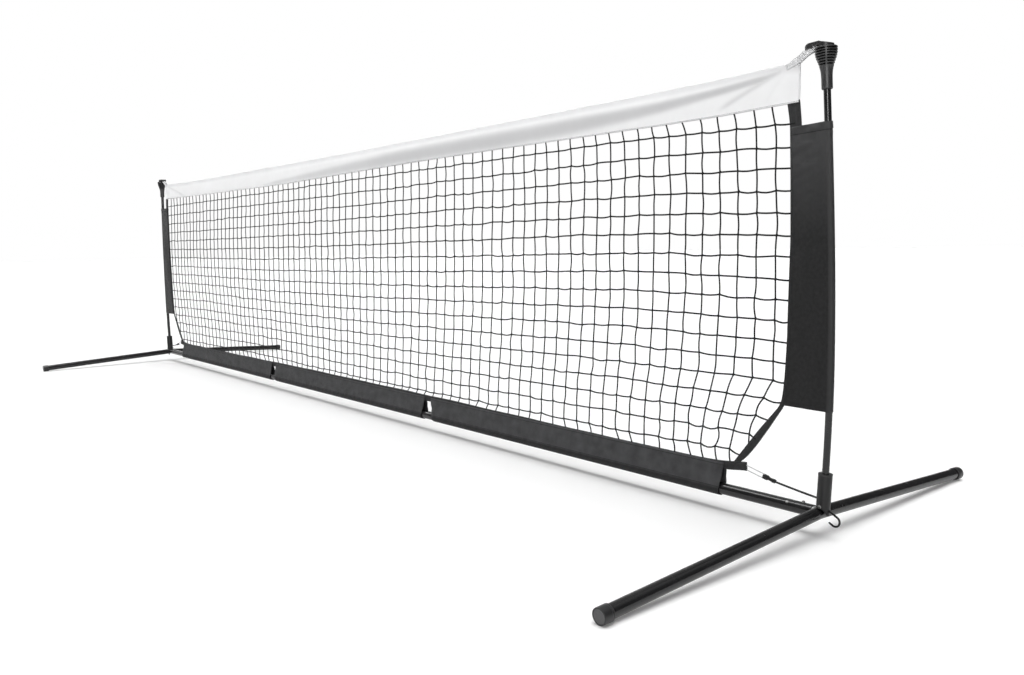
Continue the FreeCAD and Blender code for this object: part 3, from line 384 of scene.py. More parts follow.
def read_off(x, z, x_steps, z_steps, values):
    """A value between a table's rows and columns, linear both ways."""
    at_z = np.stack([np.interp(z, z_steps, row) for row in values])
    place = np.interp(x, x_steps, np.arange(len(x_steps)))
    low = np.minimum(place.astype(int), len(x_steps) - 2)
    share = place - low
    i, j = np.indices(x.shape)
    return at_z[low, i, j] * (1 - share) + at_z[low + 1, i, j] * share


knot_x = (np.arange(cords_up) - cords_up / 2)[:, None] * pitch_across + np.zeros(cords_across)
knot_z = lowest_row + np.arange(cords_across)[None, :] * pitch_up + np.zeros((cords_up, 1))
corner_slack = blend_in(np.abs(knot_x), 1350, 1700) * blend_in(-knot_z, -330, -120)
lean = read_off(knot_x, knot_z, lean_x, lean_z, lean_along)
sag = read_off(knot_x, knot_z, sag_x, sag_z, sag_down)
knot_z = knot_z - sag + net_chance.normal(0, 1.0, knot_x.shape)
knot_x = knot_x + lean + net_chance.normal(0, 0.9, knot_x.shape)
knot_y = net_chance.normal(0, 0.35, knot_x.shape)


def bowed(nodes, bows, steps=4):
    """A line through nodes that bows out between each two of them: half a sine wave of its own
    size and direction on each straight run. Shapes (n, 3) and (n - 1, 3)."""
    share = np.arange(steps) / steps
    runs = (nodes[:-1, None] * (1 - share)[None, :, None] + nodes[1:, None] * share[None, :, None]
            + bows[:, None] * np.sin(math.pi * share)[None, :, None])
    return np.concatenate([runs.reshape(-1, 3), nodes[-1:]])


# How far the lowest half cells slant back along the net on their way down.
drift_x = np.array([-1500.0, -700.0, -500.0, -200.0, 900.0, 1100.0, 1600.0])
drift_by = np.array([0.0, -10.0, -10.0, 11.0, 11.0, -6.0, -6.0])
twine_points, twine_faces = [], []
twine_count = 0


def add_faces(points, faces):
    """Adds points and the faces between them to the net's lists."""
    global twine_count
    twine_points.append(points.reshape(-1, 3))
    twine_faces.append(faces + twine_count)
    twine_count += len(twine_points[-1])


def add_twine(path, radius, sides=5):
    """Adds one cord: rings round its path, and a face between each two neighbours on them."""
    rings = tube_rings(path, radius, sides)
    i, j = np.meshgrid(np.arange(len(path) - 1), np.arange(sides), indexing="ij")
    k = (j + 1) % sides
    faces = np.stack([i * sides + j, i * sides + k, (i + 1) * sides + k, (i + 1) * sides + j], -1)
    add_faces(rings, faces.reshape(-1, 4))


for i in range(cords_up):
    slack = corner_slack[i, 0]
    drift = np.interp(knot_x[i, 0], drift_x, drift_by)
    foot_x = knot_x[i, 0] - net_chance.normal(0, 4) - drift
    held = np.abs(knot_x[i]) < np.interp(knot_z[i], edge_path_z, edge_path_x) - edge_overlap
    nodes = np.stack([knot_x[i][held], knot_y[i][held], knot_z[i][held]], -1)
    if held[0]:
        foot = [foot_x, 0, 98.0]
    else:
        foot_z = nodes[0, 2] - 30
        foot = [np.sign(foot_x) * np.interp(foot_z, edge_path_z, edge_path_x), 0, foot_z]
    top_x = knot_x[i, -1] + net_chance.normal(0, 2) - 9 * blend_in(knot_x[i, -1], 900, 1500)
    top = [top_x, 0, np.interp(top_x, tape_low_x, tape_low_z) + 6]
    nodes = np.concatenate([[foot], nodes, [top]])
    slack = np.concatenate([[slack], corner_slack[i][held]])
    bows = np.stack([net_chance.normal(0, 0.9, len(nodes) - 1) * (1 + 2 * slack),
                     net_chance.normal(0, 0.5, len(nodes) - 1), np.zeros(len(nodes) - 1)], -1)
    add_twine(bowed(nodes, bows), radius_up)
for j in range(cords_across):
    reach = np.interp(lowest_row + j * pitch_up - 2, edge_path_z, edge_path_x)
    held = np.abs(knot_x[:, j]) < reach - edge_overlap
    nodes = np.stack([knot_x[held, j], knot_y[held, j], knot_z[held, j]], -1)
    drop = 2 + 7 * corner_slack[held, j][-1]
    nodes = np.concatenate([[[-reach, 0, nodes[0, 2] - drop]], nodes,
                            [[reach, 0, nodes[-1, 2] - drop]]])
    slack = np.concatenate([corner_slack[held, j], corner_slack[held, j][-1:]])
    bows = np.stack([np.zeros(len(nodes) - 1), net_chance.normal(0, 0.5, len(nodes) - 1),
                     net_chance.normal(-1.0, 0.9, len(nodes) - 1) * (1 + 1.2 * slack)], -1)
    add_twine(bowed(nodes, bows), radius_across)

# Each knot is a small bead: rings of points round it, and a point below and above them.
bead_sides, bead_rings = 6, 3
bead_turn, bead_rise = np.meshgrid(full_turn(bead_sides),
                                   np.linspace(-0.5, 0.5, bead_rings) * math.pi * 0.62)
bead = np.stack([np.cos(bead_turn) * np.cos(bead_rise), np.sin(bead_turn) * np.cos(bead_rise),
                 np.sin(bead_rise)], -1).reshape(-1, 3)
bead = np.concatenate([bead, [[0, 0, -1], [0, 0, 1]]])
here = np.arange(bead_sides)
after = (here + 1) % bead_sides
ring_starts = bead_sides * np.arange(bead_rings)
bead_walls = np.concatenate([
    np.stack([low + here, low + after, high + after, high + here], -1)
    for low, high in zip(ring_starts, ring_starts[1:])])
bead_caps = np.concatenate([
    np.stack([after, here, np.full(bead_sides, len(bead) - 2)], -1),
    np.stack([ring_starts[-1] + here, ring_starts[-1] + after,
              np.full(bead_sides, len(bead) - 1)], -1)])
inside_edge = np.abs(knot_x) < np.interp(knot_z, edge_path_z, edge_path_x) - edge_overlap
centres = np.stack([knot_x, knot_y, knot_z], -1)[inside_edge]
size = np.array([2.9, 2.4, 3.3]) * net_chance.uniform(0.85, 1.15, (len(centres), 1, 3))
lean = net_chance.uniform(-0.7, 0.7, (len(centres), 1))
beads = bead[None] * size
beads = np.stack([beads[..., 0] * np.cos(lean) - beads[..., 2] * np.sin(lean), beads[..., 1],
                  beads[..., 0] * np.sin(lean) + beads[..., 2] * np.cos(lean)], -1)
beads += centres[:, None]
shift = (np.arange(len(centres)) * len(bead))[:, None, None]
cap_faces = (bead_caps[None] + shift).reshape(-1, 3) + twine_count
add_faces(beads, (bead_walls[None] + shift).reshape(-1, 4))
twine_mesh = bpy.data.meshes.new("net_twine")
twine_mesh.from_pydata((np.concatenate(twine_points) * mm).tolist(), [],
                       np.concatenate(twine_faces).tolist() + cap_faces.tolist())

twine_finish, tree, shader = new_finish("black twine", 0.7, specular=0.25)
where = place_source(tree, "Object")
mottled_colour(tree, shader, where, (0.002, 0.002, 0.0022), (0.007, 0.007, 0.0075), 320)
lay_lines = add_node(tree, "TexWave", {"Vector": where, "Scale": 240, "Distortion": 2.0},
                     bands_direction="DIAGONAL")
add_bump(tree, shader, lay_lines.outputs["Fac"], 0.6, 0.0003)
stand_in(finished("net_twine", twine_mesh, twine_finish), "net_mesh")


# White tape. A strip of coated cloth is folded over the net's top edge and sewn through near its
# lower hem, and the loops pull it into soft creases that fan out from its top corners.
def woven_finish(name, dark, light, thread, bump, mottle=35.0, sheen=0.1, roughness=0.85,
                 specular=0.3):
    """Cloth: two sets of crossing threads of a width in metres, on the piece's own UV map, with a
    slow change of colour. Returns the material, its tree and its UV socket."""
    material, tree, shader = new_finish(name, roughness, specular=specular)
    shader.inputs["Sheen Weight"].default_value = sheen
    shader.inputs["Sheen Roughness"].default_value = 0.5
    where = place_source(tree, "UV")
    mottled_colour(tree, shader, where, dark, light, mottle, 5.0)
    threads = {"Vector": where, "Scale": 0.16 / thread, "Distortion": 0.6, "Detail": 1.0}
    waves = [add_node(tree, "TexWave", threads, bands_direction=direction).outputs["Fac"]
             for direction in ("X", "Y")]
    add_bump(tree, shader, worked_out(tree, "MULTIPLY", *waves), bump, thread * 0.5)
    return material, tree, where


def recolour(material, share, colour, **settings):
    """Lays a colour over a material's own where a mask is 1."""
    tree, shader = shader_of(material)
    own = shader.inputs["Base Color"].links[0].from_socket
    tree.links.new(mixed(tree, share, own, colour, **settings), shader.inputs["Base Color"])


def sew(material, where, across, thread_colour, share=0.62, width=0.45, stitch=3.2,
        axes=("X", "Y")):
    """Stitches along U at one V in mm: dashes that take a share of each step of a stitch's
    length. They have their own colour and stand out a little. Swapped axes give a row along V."""
    tree, shader = shader_of(material)
    along, aside = [one_axis(tree, where, axis) for axis in axes]
    far = worked_out(tree, "ABSOLUTE", worked_out(tree, "SUBTRACT", aside, across * mm))
    near = worked_out(tree, "LESS_THAN", far, width * mm)
    part = worked_out(tree, "FRACT", worked_out(tree, "MULTIPLY", along, 1 / (stitch * mm)))
    mask = worked_out(tree, "MULTIPLY", near, worked_out(tree, "LESS_THAN", part, share))
    recolour(material, mask, thread_colour)
    add_bump(tree, shader, mask, 0.6, 0.0004)


def shade_share(tree):
    """The share that a piece's shade map holds."""
    return one_axis(tree, add_node(tree, "UVMap", uv_map="shade").outputs["UV"], "X")


tape_finish, tree, where = woven_finish("white tape cloth", (0.88, 0.882, 0.887),
                                        (0.93, 0.932, 0.937), 0.0006, 0.25)
sew(tape_finish, where, 2.2, (0.3, 0.3, 0.31), 0.8, 0.35)
# Painted shade: the shade map darkens the cloth in its trough, creases and top.
recolour(tape_finish, shade_share(tree), (0.69, 0.69, 0.695), blend_type="MULTIPLY")

tape_end = 1771.0
tape_half = 2.25
tape_top_x = np.array([0.0, 1100.0, 1480.0, 1600.0, 1700.0, 1745.0, 1771.0])
tape_top_z = np.array([872.0, 875.2, 878.0, 879.6, 882.6, 884.0, 878.5])
trough_x = np.array([-640.0, -470.0, 92.0, 401.0, 900.0, 1120.0, 1353.0, 1434.0, 1544.0, 1683.0,
                     1720.0, 1744.0])
trough_middle = np.array([0.08, 0.15, 0.28, 0.33, 0.36, 0.41, 0.50, 0.55, 0.65, 0.77, 0.84, 0.93])
trough_half = np.array([0.04, 0.10, 0.25, 0.32, 0.33, 0.30, 0.21, 0.17, 0.13, 0.09, 0.05, 0.03])
trough_depth = np.array([0.0, 0.5, 0.8, 1.0, 1.0, 1.0, 1.0, 1.0, 1.0, 1.0, 0.7, 0.0])


def bell(value, middle, width):
    """1 at the middle, and less on both sides along a bell curve."""
    return np.exp(-((value - middle) / width) ** 2)


def arch(value):
    """Half a sine wave between 0 and 1, and 0 beyond."""
    return np.sin(math.pi * np.clip(value, 0, 1))


def tape_trough(x):
    """Middle, half width and depth of the tape's long trough at places along the net. It runs
    from the right gather down to mid-net. Heights are shares of the tape's height."""
    return (np.interp(x, trough_x, trough_middle), np.interp(x, trough_x, trough_half),
            np.interp(x, trough_x, trough_depth, left=0, right=0))


def tape_lines(x, share):
    """Thin creases from each gather down to the hem: for each a bell curve across a straight
    line in (x, share of height), 1 on the line."""
    total = 0 * x
    for x0, share0, x1, share1, width, depth in (
            (1742, 0.94, 1575, 0.10, 0.075, 0.75), (1746, 0.93, 1692, 0.05, 0.08, 0.12),
            (-1742, 0.93, -1490, 0.06, 0.08, 0.6)):
        along = np.clip((x - x0) / (x1 - x0), 0, 1)
        fade = blend_in(along, 0, 0.08) * (1 - blend_in(along, 0.75, 1))
        total = total + depth * fade * bell(share, share0 + (share1 - share0) * along, width)
    return total


def smoothed(line):
    """A running mean over nine values."""
    return np.convolve(np.pad(line, 4, "edge"), np.ones(9) / 9, "valid")


def tape_grid():
    """Rows run along the net, closer together near its ends. Columns run from the back hem over
    the top fold, a half circle, to the front hem. Returns the grid, its UV map and a painted
    shade: how much darker the cloth is painted in its long trough, along its thin creases and
    towards its top edge."""
    even = np.linspace(-1, 1, 760)
    x = tape_end * (0.62 * even + 0.38 * np.sign(even) * (1 - (1 - np.abs(even)) ** 3))
    low = np.interp(x, tape_low_x, tape_low_z)
    high = smoothed(np.interp(np.abs(x), tape_top_x, tape_top_z))
    drop = np.concatenate([np.linspace(0, 0.03, 2), np.linspace(0.06, 1, 24)])[::-1]
    count = len(drop)
    bend = np.linspace(0, math.pi, 9)[1:-1]
    side = np.concatenate([np.ones(count), np.cos(bend), -np.ones(count)])
    tall = (high - tape_half - low)[:, None]
    leg = low[:, None] + tall * (1 - drop)
    fold = (high - tape_half)[:, None] + tape_half * np.sin(bend)
    z = np.concatenate([leg, fold, leg[:, ::-1]], 1)
    x_all = np.broadcast_to(x[:, None], z.shape)
    rise = z - low[:, None]
    share = np.clip(rise / tall, 0, 1)
    middle, half, depth = tape_trough(x_all)
    lines = tape_lines(x_all, share)
    ends = blend_in(tape_end - np.abs(x_all), 22, 90)
    upper = blend_in(share, middle - half, middle + half) * (1 - blend_in(share, 0.66, 1.0))
    full = ends * (0.8 * arch(share) + 3.6 * np.maximum(depth, 0.25) * upper)
    pucker = 0.25 * np.sin(x_all / 3.1) * bell(rise, 3, 6)
    wave = ends * (0.5 * np.sin(x_all / 71 + z / 23) + 0.35 * np.sin(x_all / 29 - z / 17))
    half_thick = 1.6 + 0.65 * blend_in(tape_end - np.abs(x_all), 0, 30)
    y = side * (half_thick + full + pucker * ends - 1.2 * lines * ends) + wave
    y[[0, -1]] = 0
    over = np.broadcast_to(76 + tape_half * bend, fold.shape)
    across = np.concatenate([rise[:, :count], over, rise[:, -count:]], 1)
    # Painted shade: darker colour in the long trough, along the creases and towards the top edge.
    tape_painted_shade = depth * np.exp(-np.abs((share - middle) / half) ** 3)
    tape_painted_shade = np.maximum(tape_painted_shade, 0.8 * lines)
    tape_painted_shade = np.clip(np.maximum(tape_painted_shade, 0.45 * blend_in(share, 0.72, 0.96)), 0, 1)
    return (np.stack([x_all, y, z], -1), np.stack([x_all, across], -1),
            np.stack([tape_painted_shade, tape_painted_shade], -1))


grid, uv, tape_painted_shade = tape_grid()
tape = surface("tape", grid, tape_finish, uv=uv, thickness=0.7, shade=tape_painted_shade)
stand_in(tape, "headband_tape")

# Headline strap. A flat white webbing lies in the tape's top fold and carries the pull from one
# loop to the other.
strap_end, strap_width = 1757, 13
strap_x = np.linspace(-strap_end, strap_end, 240)[:, None]
strap_top = np.interp(np.abs(strap_x), [0, 1100, 1480, 1700, strap_end],
                      [870, 873.4, 876, 879, 874])
down = strap_width * np.linspace(0, 1, 7)
grid = np.stack([strap_x + 0 * down, 0.2 * np.sin(strap_x / 71) + 0 * down, strap_top - down], -1)
headline = surface("headline", grid, tape_finish, thickness=1.2,
                   uv=np.stack([grid[..., 0], 20 + grid[..., 2] - 860], -1))
stand_in(headline, "headline_strap")

# White loops. A gathered band of the tape's webbing goes from each top corner up into the hood
# of the hook, round the prong there, and back.
loop_finish, tree, where = woven_finish("white loop webbing", (0.58, 0.583, 0.59),
                                        (0.8, 0.803, 0.81), 0.0007, 0.02, mottle=40.0)
head_base = np.array([1825.18, 0.0, 826.49])
head_turn = math.radians(-3.2634)
head_axis = np.array([math.sin(head_turn), 0, math.cos(head_turn)])
band_route = np.array([(1743.0, 876.5), (1756.0, 881.8), (1768.0, 888.0), (1785.0, 898.5),
                       (1800.3, 904.0)])


def walked(line):
    """How far each point of a polyline lies along it."""
    return np.concatenate([[0], np.cumsum(np.linalg.norm(np.diff(line, axis=0), axis=1))])


def eased(points, count, width):
    """A polyline's points at even steps, with its corners rounded by a running mean."""
    place = walked(points)
    at = np.linspace(0, place[-1], count)
    line = np.stack([np.interp(at, place, points[:, 0]), np.interp(at, place, points[:, 1])], -1)
    pad = width // 2
    kernel = np.ones(width) / width
    ends = [2 * line[:1] - line[pad:0:-1], line, 2 * line[-1:] - line[-2:-pad - 2:-1]]
    padded = np.concatenate(ends)
    return np.stack([np.convolve(padded[:, k], kernel, "valid") for k in (0, 1)], -1)


def loop_grid():
    """Rows follow the band from its back tail round the prong to its front tail: two curved legs
    that close in on each other above the tape and open again over its faces, and a half circle.
    Columns cross the band, which is folded into four strands: its thickness follows a cosine of
    four waves."""
    nose = 3.3
    count = 56
    line = eased(band_route, count, 9)
    way = unit(np.gradient(line, axis=0))
    place = walked(line)
    left = place[-1] - place
    gap = 1.7 + (nose - 1.7) * blend_in(-left, -22, -1) + 2.0 * blend_in(left, 32, 46)
    bend = np.linspace(-math.pi / 2, math.pi / 2, 15)[1:-1]
    ahead_nose = nose * np.cos(bend)[:, None] * way[-1]
    centre = np.concatenate([line, line[-1] + ahead_nose, line[::-1]])
    ways = np.concatenate([way, np.broadcast_to(way[-1], (13, 2)), way[::-1]])
    out = np.concatenate([gap, -nose * np.sin(bend), -gap[::-1]])
    normal_along = np.concatenate([np.zeros(count), np.cos(bend), np.zeros(count)])
    normal_out = np.concatenate([np.ones(count), -np.sin(bend), -np.ones(count)])
    share = np.linspace(-1, 1, 37)
    from_nose = np.concatenate([left, 0 * bend, left[::-1]])
    narrow = 6.6 - 1.6 * blend_in(from_nose, 34, 60)
    ridge = 0.6 * np.cos(share * math.pi * 4)[None, :] * (
        0.75 + 0.25 * np.sin(from_nose / 5.0 + 2)[:, None])
    wander = 0.25 * np.sin(from_nose / 9.0)[:, None] * np.cos(share * 5)[None, :]
    u = share[None, :] * narrow[:, None] + wander
    push = normal_along[:, None] * ridge
    x = centre[:, :1] + ways[:, :1] * push - ways[:, 1:] * u
    z = centre[:, 1:] + ways[:, 1:] * push + ways[:, :1] * u
    y = out[:, None] + normal_out[:, None] * ridge * 0.9
    grid = np.stack([x, y, z], -1)
    length = walked(np.column_stack([centre, out]))
    return grid, np.stack([np.broadcast_to(length[:, None], u.shape), u], -1)


grid, uv = loop_grid()
for side, sign in both_sides:
    band = surface("loop_" + side, grid * [sign, 1, 1], loop_finish, uv=uv, flip=sign < 0,
                   thickness=0.8)
    stand_in(band, "hook_loop_" + side)

# Edge bindings. Black woven webbing is folded over each side of the net and sewn, down to the
# corner tab, where it bends in along the cut-off corner.
binding_finish, tree, where = woven_finish(
    "black binding webbing", (0.006, 0.006, 0.0065), (0.026, 0.026, 0.027), 0.0011, 0.8,
    mottle=120.0, sheen=0.0, roughness=0.6)
for row in (4.0, 15.0):
    sew(binding_finish, where, row, (0.03, 0.03, 0.031))

binding_inner = np.array([(1744.5, 816.0), (1751.5, 775.0), (1754.5, 680.0), (1757.0, 560.0),
                          (1754.5, 444.0), (1753.5, 367.0), (1750.0, 300.0), (1746.5, 262.0),
                          (1742.0, 240.0), (1692.7, 182.3), (1636.0, 109.0), (1630.0, 101.0)])
binding_outer = np.array([(1770.5, 816.0), (1775.0, 775.0), (1778.0, 680.0), (1780.0, 560.0),
                          (1778.0, 444.0), (1775.0, 367.0), (1767.0, 300.0), (1757.0, 262.0),
                          (1750.5, 240.0), (1713.6, 185.5), (1689.0, 151.2), (1676.0, 135.0),
                          (1663.0, 120.0), (1648.0, 108.0), (1638.0, 101.0)])


def folded_strip(inner, outer, half, count_across=9, ripple=0.25):
    """A strip folded over the outer line: from the front of the inner line to the outer line,
    round a half circle there, and back. Rows follow the lines, in mm."""
    share = np.linspace(0, 1, count_across)
    bend = np.linspace(-math.pi / 2, math.pi / 2, 7)[1:-1]
    way = outer - inner
    wide = np.hypot(way[:, 0], way[:, 1])
    way = way / wide[:, None]
    flat = wide - half
    reach = np.concatenate([flat[:, None] * share, flat[:, None] + half * np.cos(bend),
                            flat[:, None] * share[::-1]], 1)
    y = np.concatenate([-half * np.ones(count_across), half * np.sin(bend),
                        half * np.ones(count_across)])
    place = walked(inner)
    wave = ripple * (np.sin(place / 5.3) + np.sin(place / 8.9 + 1))[:, None]
    x = inner[:, :1] + way[:, :1] * reach
    z = inner[:, 1:] + way[:, 1:] * reach
    y = y[None, :] * (1 + 0 * reach) + wave * arch(reach / wide[:, None])
    grid = np.stack([x, y, z], -1)
    return grid, np.stack([np.broadcast_to(place[:, None], reach.shape), reach], -1)


grid, uv = folded_strip(eased(binding_inner, 190, 7), eased(binding_outer, 190, 7), 1.2)
for side, sign in both_sides:
    strip = surface("binding_" + side, grid * [sign, 1, 1], binding_finish, uv=uv, flip=sign > 0,
                    thickness=0.7)
    stand_in(strip, "edge_binding_" + side)

# Bottom webbing. The same webbing is folded over the net's lower edge from corner to corner, and
# its stiff ends are the tabs that hold the corner rings.
webbing_x = np.array([-1666.0, -1600.0, -1500.0, -900.0, -300.0, 600.0, 900.0, 1200.0, 1300.0,
                      1550.0, 1610.0, 1666.0])
webbing_z = np.array([104.5, 96.0, 94.0, 95.0, 98.5, 97.8, 95.4, 93.4, 92.0, 92.2, 95.0, 104.5])
webbing_half = 8.8
along_x = np.linspace(-1666, 1666, 520)
middle = smoothed(np.interp(along_x, webbing_x, webbing_z)) + 0.5 * np.sin(along_x / 47)
lean = np.gradient(middle, along_x)
top_line = np.stack([along_x - webbing_half * lean, middle + webbing_half], -1)
low_line = np.stack([along_x + webbing_half * lean, middle - webbing_half], -1)
grid, uv = folded_strip(top_line, low_line, 1.35, ripple=0.15)
webbing = surface("webbing", grid, binding_finish, uv=uv, flip=True, thickness=0.7)
stand_in(webbing, "bottom_webbing")

# Side sleeves. Black cloth is sewn to each binding, lies round the pole and comes back. It has a
# hem at both ends, and small creases where its seam draws it in.
sleeve_finish, tree, where = woven_finish(
    "black sleeve cloth", (0.001, 0.001, 0.0012), (0.018, 0.018, 0.0187), 0.0008, 0.7, mottle=140.0,
    sheen=0.0, roughness=0.42, specular=0.22)
sleeve_low, sleeve_high = 240.0, 768.0
# Painted light: the cloth's colour is made lighter towards the sleeve's top.
painted_top_light = ramped(tree, one_axis(tree, where, "X"), 0.56, 0.74, high=0.5)
recolour(sleeve_finish, painted_top_light, (0.07, 0.07, 0.072))
# Painted highlight: a lighter band where the cloth turns round the pole.
painted_rim_highlight = ramped(tree, one_axis(tree, where, "Y"), 0.081, 0.085, high=0.55)
recolour(sleeve_finish, painted_rim_highlight, (0.045, 0.045, 0.046))
for row, axes, width, thread in ((4.0, ("X", "Y"), 0.6, 0.006),
                                 (sleeve_high - 14.5, ("Y", "X"), 0.9, 0.005)):
    sew(sleeve_finish, where, row, (thread, thread, thread), 0.85, width, axes=axes)


def pole_x(z):
    """The bent pole's middle line, in mm: a rod held upright at its foot and pulled in at its tip
    bends by pull * (3 s^2 - s^3) / 2, where s runs from 0 to 1 up the bent stretch."""
    s = np.clip((z - 122) / 705, 0, 1)
    return 1839.7 + 0.05 * (z - 122) - 50.25 * (3 * s ** 2 - s ** 3) / 2 + 0.45 * s


def hairpin_section(reach, gap, radius, leg_count, arc_count):
    """A loop of cloth round a bar, for many places at once: two straight legs from +-gap at
    -reach, tangent to a circle of a radius round the bar, and the arc between them. Returns
    (along, across) arrays of shape (places, points), and the outward normals."""
    distance = np.hypot(reach, gap)
    touch = np.arctan2(gap, -reach) - np.arccos(radius / distance)
    share = np.linspace(0, 1, leg_count)[None, :]
    leg_along = -reach[:, None] * (1 - share) + (radius * np.cos(touch))[:, None] * share
    leg_across = gap * (1 - share) + (radius * np.sin(touch))[:, None] * share
    turn = touch[:, None] * (1 - 2 * np.linspace(0, 1, arc_count)[None, 1:-1])
    leg_normal = np.repeat(touch[:, None], leg_count, 1)
    normal = np.concatenate([leg_normal, turn, -leg_normal], 1)
    along = np.concatenate([leg_along, radius * np.cos(turn), leg_along[:, ::-1]], 1)
    across = np.concatenate([leg_across, radius * np.sin(turn), -leg_across[:, ::-1]], 1)
    return along, across, np.cos(normal), np.sin(normal)


def sleeve_grid(flavour):
    """Rows go up the pole. The cloth stands out from its plain loop by a few waves: small ones
    across the seam, which fade towards the pole, and long slack ones up the sleeve."""
    z = np.linspace(sleeve_low, sleeve_high, 230)
    centre = pole_x(z)
    edge = np.interp(z, binding_inner[::-1, 1], binding_inner[::-1, 0]) + 1.5
    along, across, n_along, n_across = hairpin_section(centre - edge, 2.25, 7.2, 16, 20)
    from_seam = (along + (centre - edge)[:, None]) * 84 / (centre - edge)[:, None]
    level = np.broadcast_to(z[:, None], along.shape)
    side = np.sign(across + 1e-9)
    top_down = sleeve_high - level
    seam = np.exp(-from_seam / 9) * np.clip(from_seam / 2, 0, 1)
    crease = 1.3 * seam * (np.sin(level / 3.3 + flavour + from_seam / 9 * side)
                           * np.sin(level / 23 + flavour * side))
    panel = arch(from_seam / 75)
    slack = panel * (0.9 * np.sin(level / 61 + from_seam / 23 * side + flavour)
                     + 0.5 * np.sin(level / 27 + from_seam / 31 + flavour))
    draw = panel * np.exp(-top_down / 70) * (
        1.9 * np.sin(top_down / 6.1 + 1.8 * np.sin(from_seam / 21 + flavour))
        + 1.1 * np.sin(top_down / 3.3 + from_seam / 11))
    casing = -0.9 * bell(from_seam, 75, 2.2)
    hem = 0.7 * blend_in(-top_down, -14, -12.6)
    tuck = -0.8 * bell(top_down, 14.5, 1.3)
    gather = 1.2 * bell(top_down, 14, 9) * np.sin(from_seam / 3.4 + flavour)
    out = crease + slack + draw + casing + hem + tuck + gather * np.clip(from_seam / 20, 0, 1) * 0.5
    out = np.maximum(out + 0.6 * panel, -0.9 + 0.75 * blend_in(from_seam, 72, 80))
    x = centre[:, None] + along + n_along * out
    y = across + n_across * out
    tilt = blend_in(level, sleeve_high - 60, sleeve_high) * (from_seam - 40) * 0.035
    grid = np.stack([x, y, level + tilt], -1)
    return grid, np.stack([level, from_seam], -1)


for (side, sign), flavour in zip(both_sides, (0.4, 2.1)):
    grid, uv = sleeve_grid(flavour)
    sleeve = surface("sleeve_" + side, grid * [sign, 1, 1], sleeve_finish, uv=uv, flip=sign < 0,
                     thickness=0.7)
    stand_in(sleeve, "side_sleeve_" + side)

# Bar skirts. Three panels of dark grey cloth hang from the webbing and hold the bar in a loop.
# Each is sewn through just above the bar's middle, where a second thickness of cloth starts.
skirt_finish, tree, where = woven_finish(
    "grey skirt cloth", (0.012, 0.0122, 0.013), (0.070, 0.0705, 0.074), 0.0009, 0.6, mottle=34.0,
    sheen=0.0, roughness=0.6)
# The cloth's colour is made darker below the lower seam, round the bar.
darker_below_seam = ramped(tree, one_axis(tree, where, "Y"), 0.050, 0.056)
recolour(skirt_finish, darker_below_seam, (0.22, 0.22, 0.22), blend_type="MULTIPLY")
for row in (5.0, 51.5):
    sew(skirt_finish, where, row, (0.012, 0.012, 0.013), 0.85, 0.8)
bar_height = 45.0


def skirt_grid(low_start, low_end, top_start, top_end, flavour):
    """Rows run along the bar. Each row is a loop round the bar and up to the webbing, and stands
    out by the hem's step, long slack waves and small puckers along its seams."""
    rows = int((top_end - top_start) / 7)
    share = np.linspace(0, 1, rows)
    reach = np.full(rows, 56.0)
    along, across, n_along, n_across = hairpin_section(reach, 2.25, 12.7, 14, 18)
    height = bar_height - along
    tall = np.clip((height - 33) / 68, 0, 1)
    x = ((low_start + (top_start - low_start) * tall) * (1 - share[:, None])
         + (low_end + (top_end - low_end) * tall) * share[:, None])
    hem = 0.8 * blend_in(-height, -50, -48)
    seam = bell(height, 49, 4)
    top_seam = bell(height, 96, 7)
    pucker = (1.1 * seam + 0.5 * top_seam) * np.sin(x / 3.7 + flavour) * np.sin(x / 17)
    free = arch((height - 50) / 48)
    side = np.sign(across + 1e-9)
    slack = free * (1.3 * np.sin(x / 83 + flavour + side) + np.sin(x / 37 - height / 21 * side)
                    + 0.8 * np.sin(x / 61 + height / 4.5 + np.sin(x / 23))
                    + 0.5 * np.sin(x / 19 + height / 9))
    out = hem + pucker - 0.9 * seam + slack * 1.1 + 0.6
    grid = np.stack([x, across + n_across * out, height - n_along * out], -1)
    around = np.concatenate([np.zeros((rows, 1)), np.cumsum(np.hypot(
        np.diff(along, axis=1), np.diff(across, axis=1)), 1)], 1)
    return grid, np.stack([x, np.minimum(around, around[:, -1:] - around)], -1)


for word, places in (("left", (-1622, -593, -1622, -593)), ("centre", (-550, 497, -559, 506)),
                     ("right", (556, 1605, 537, 1612))):
    grid, uv = skirt_grid(*places, flavour=len(word) * 1.3)
    skirt = surface("skirt_" + word, grid, skirt_finish, uv=uv, flip=True, thickness=0.7)
    stand_in(skirt, "bar_skirt_" + word)

# Tubes, poles and sockets. Steel tube in satin black powder coat, with a fine orange-peel skin
# and rubbed spots, and black glass-fibre poles.
def paint_finish(name, dark, light, roughness, peel, specular=0.5):
    """Powder coat or moulded skin on Object coordinates: a slow change of colour and roughness,
    and a fine pebbled bump."""
    material, tree, shader = new_finish(name, roughness, specular=specular)
    where = place_source(tree, "Object")
    mottled_colour(tree, shader, where, dark, light, 14)
    add_bump(tree, shader, noise(tree, where, 900, 2.0), peel, 0.0003)
    rubbed = ramped(tree, noise(tree, where, 55, 6.0), 0.35, 0.7, roughness - 0.05,
                    roughness + 0.08)
    tree.links.new(rubbed, shader.inputs["Roughness"])
    return material


def steel_finish(name, dark, light, roughness):
    """Plated or drawn steel on Object coordinates, with fine scratches."""
    material, tree, shader = new_finish(name, roughness, metallic=1.0)
    where = place_source(tree, "Object")
    mottled_colour(tree, shader, where, dark, light, 260)
    add_bump(tree, shader, noise(tree, where, 1500, 3.0), 0.15, 0.0001)
    return material


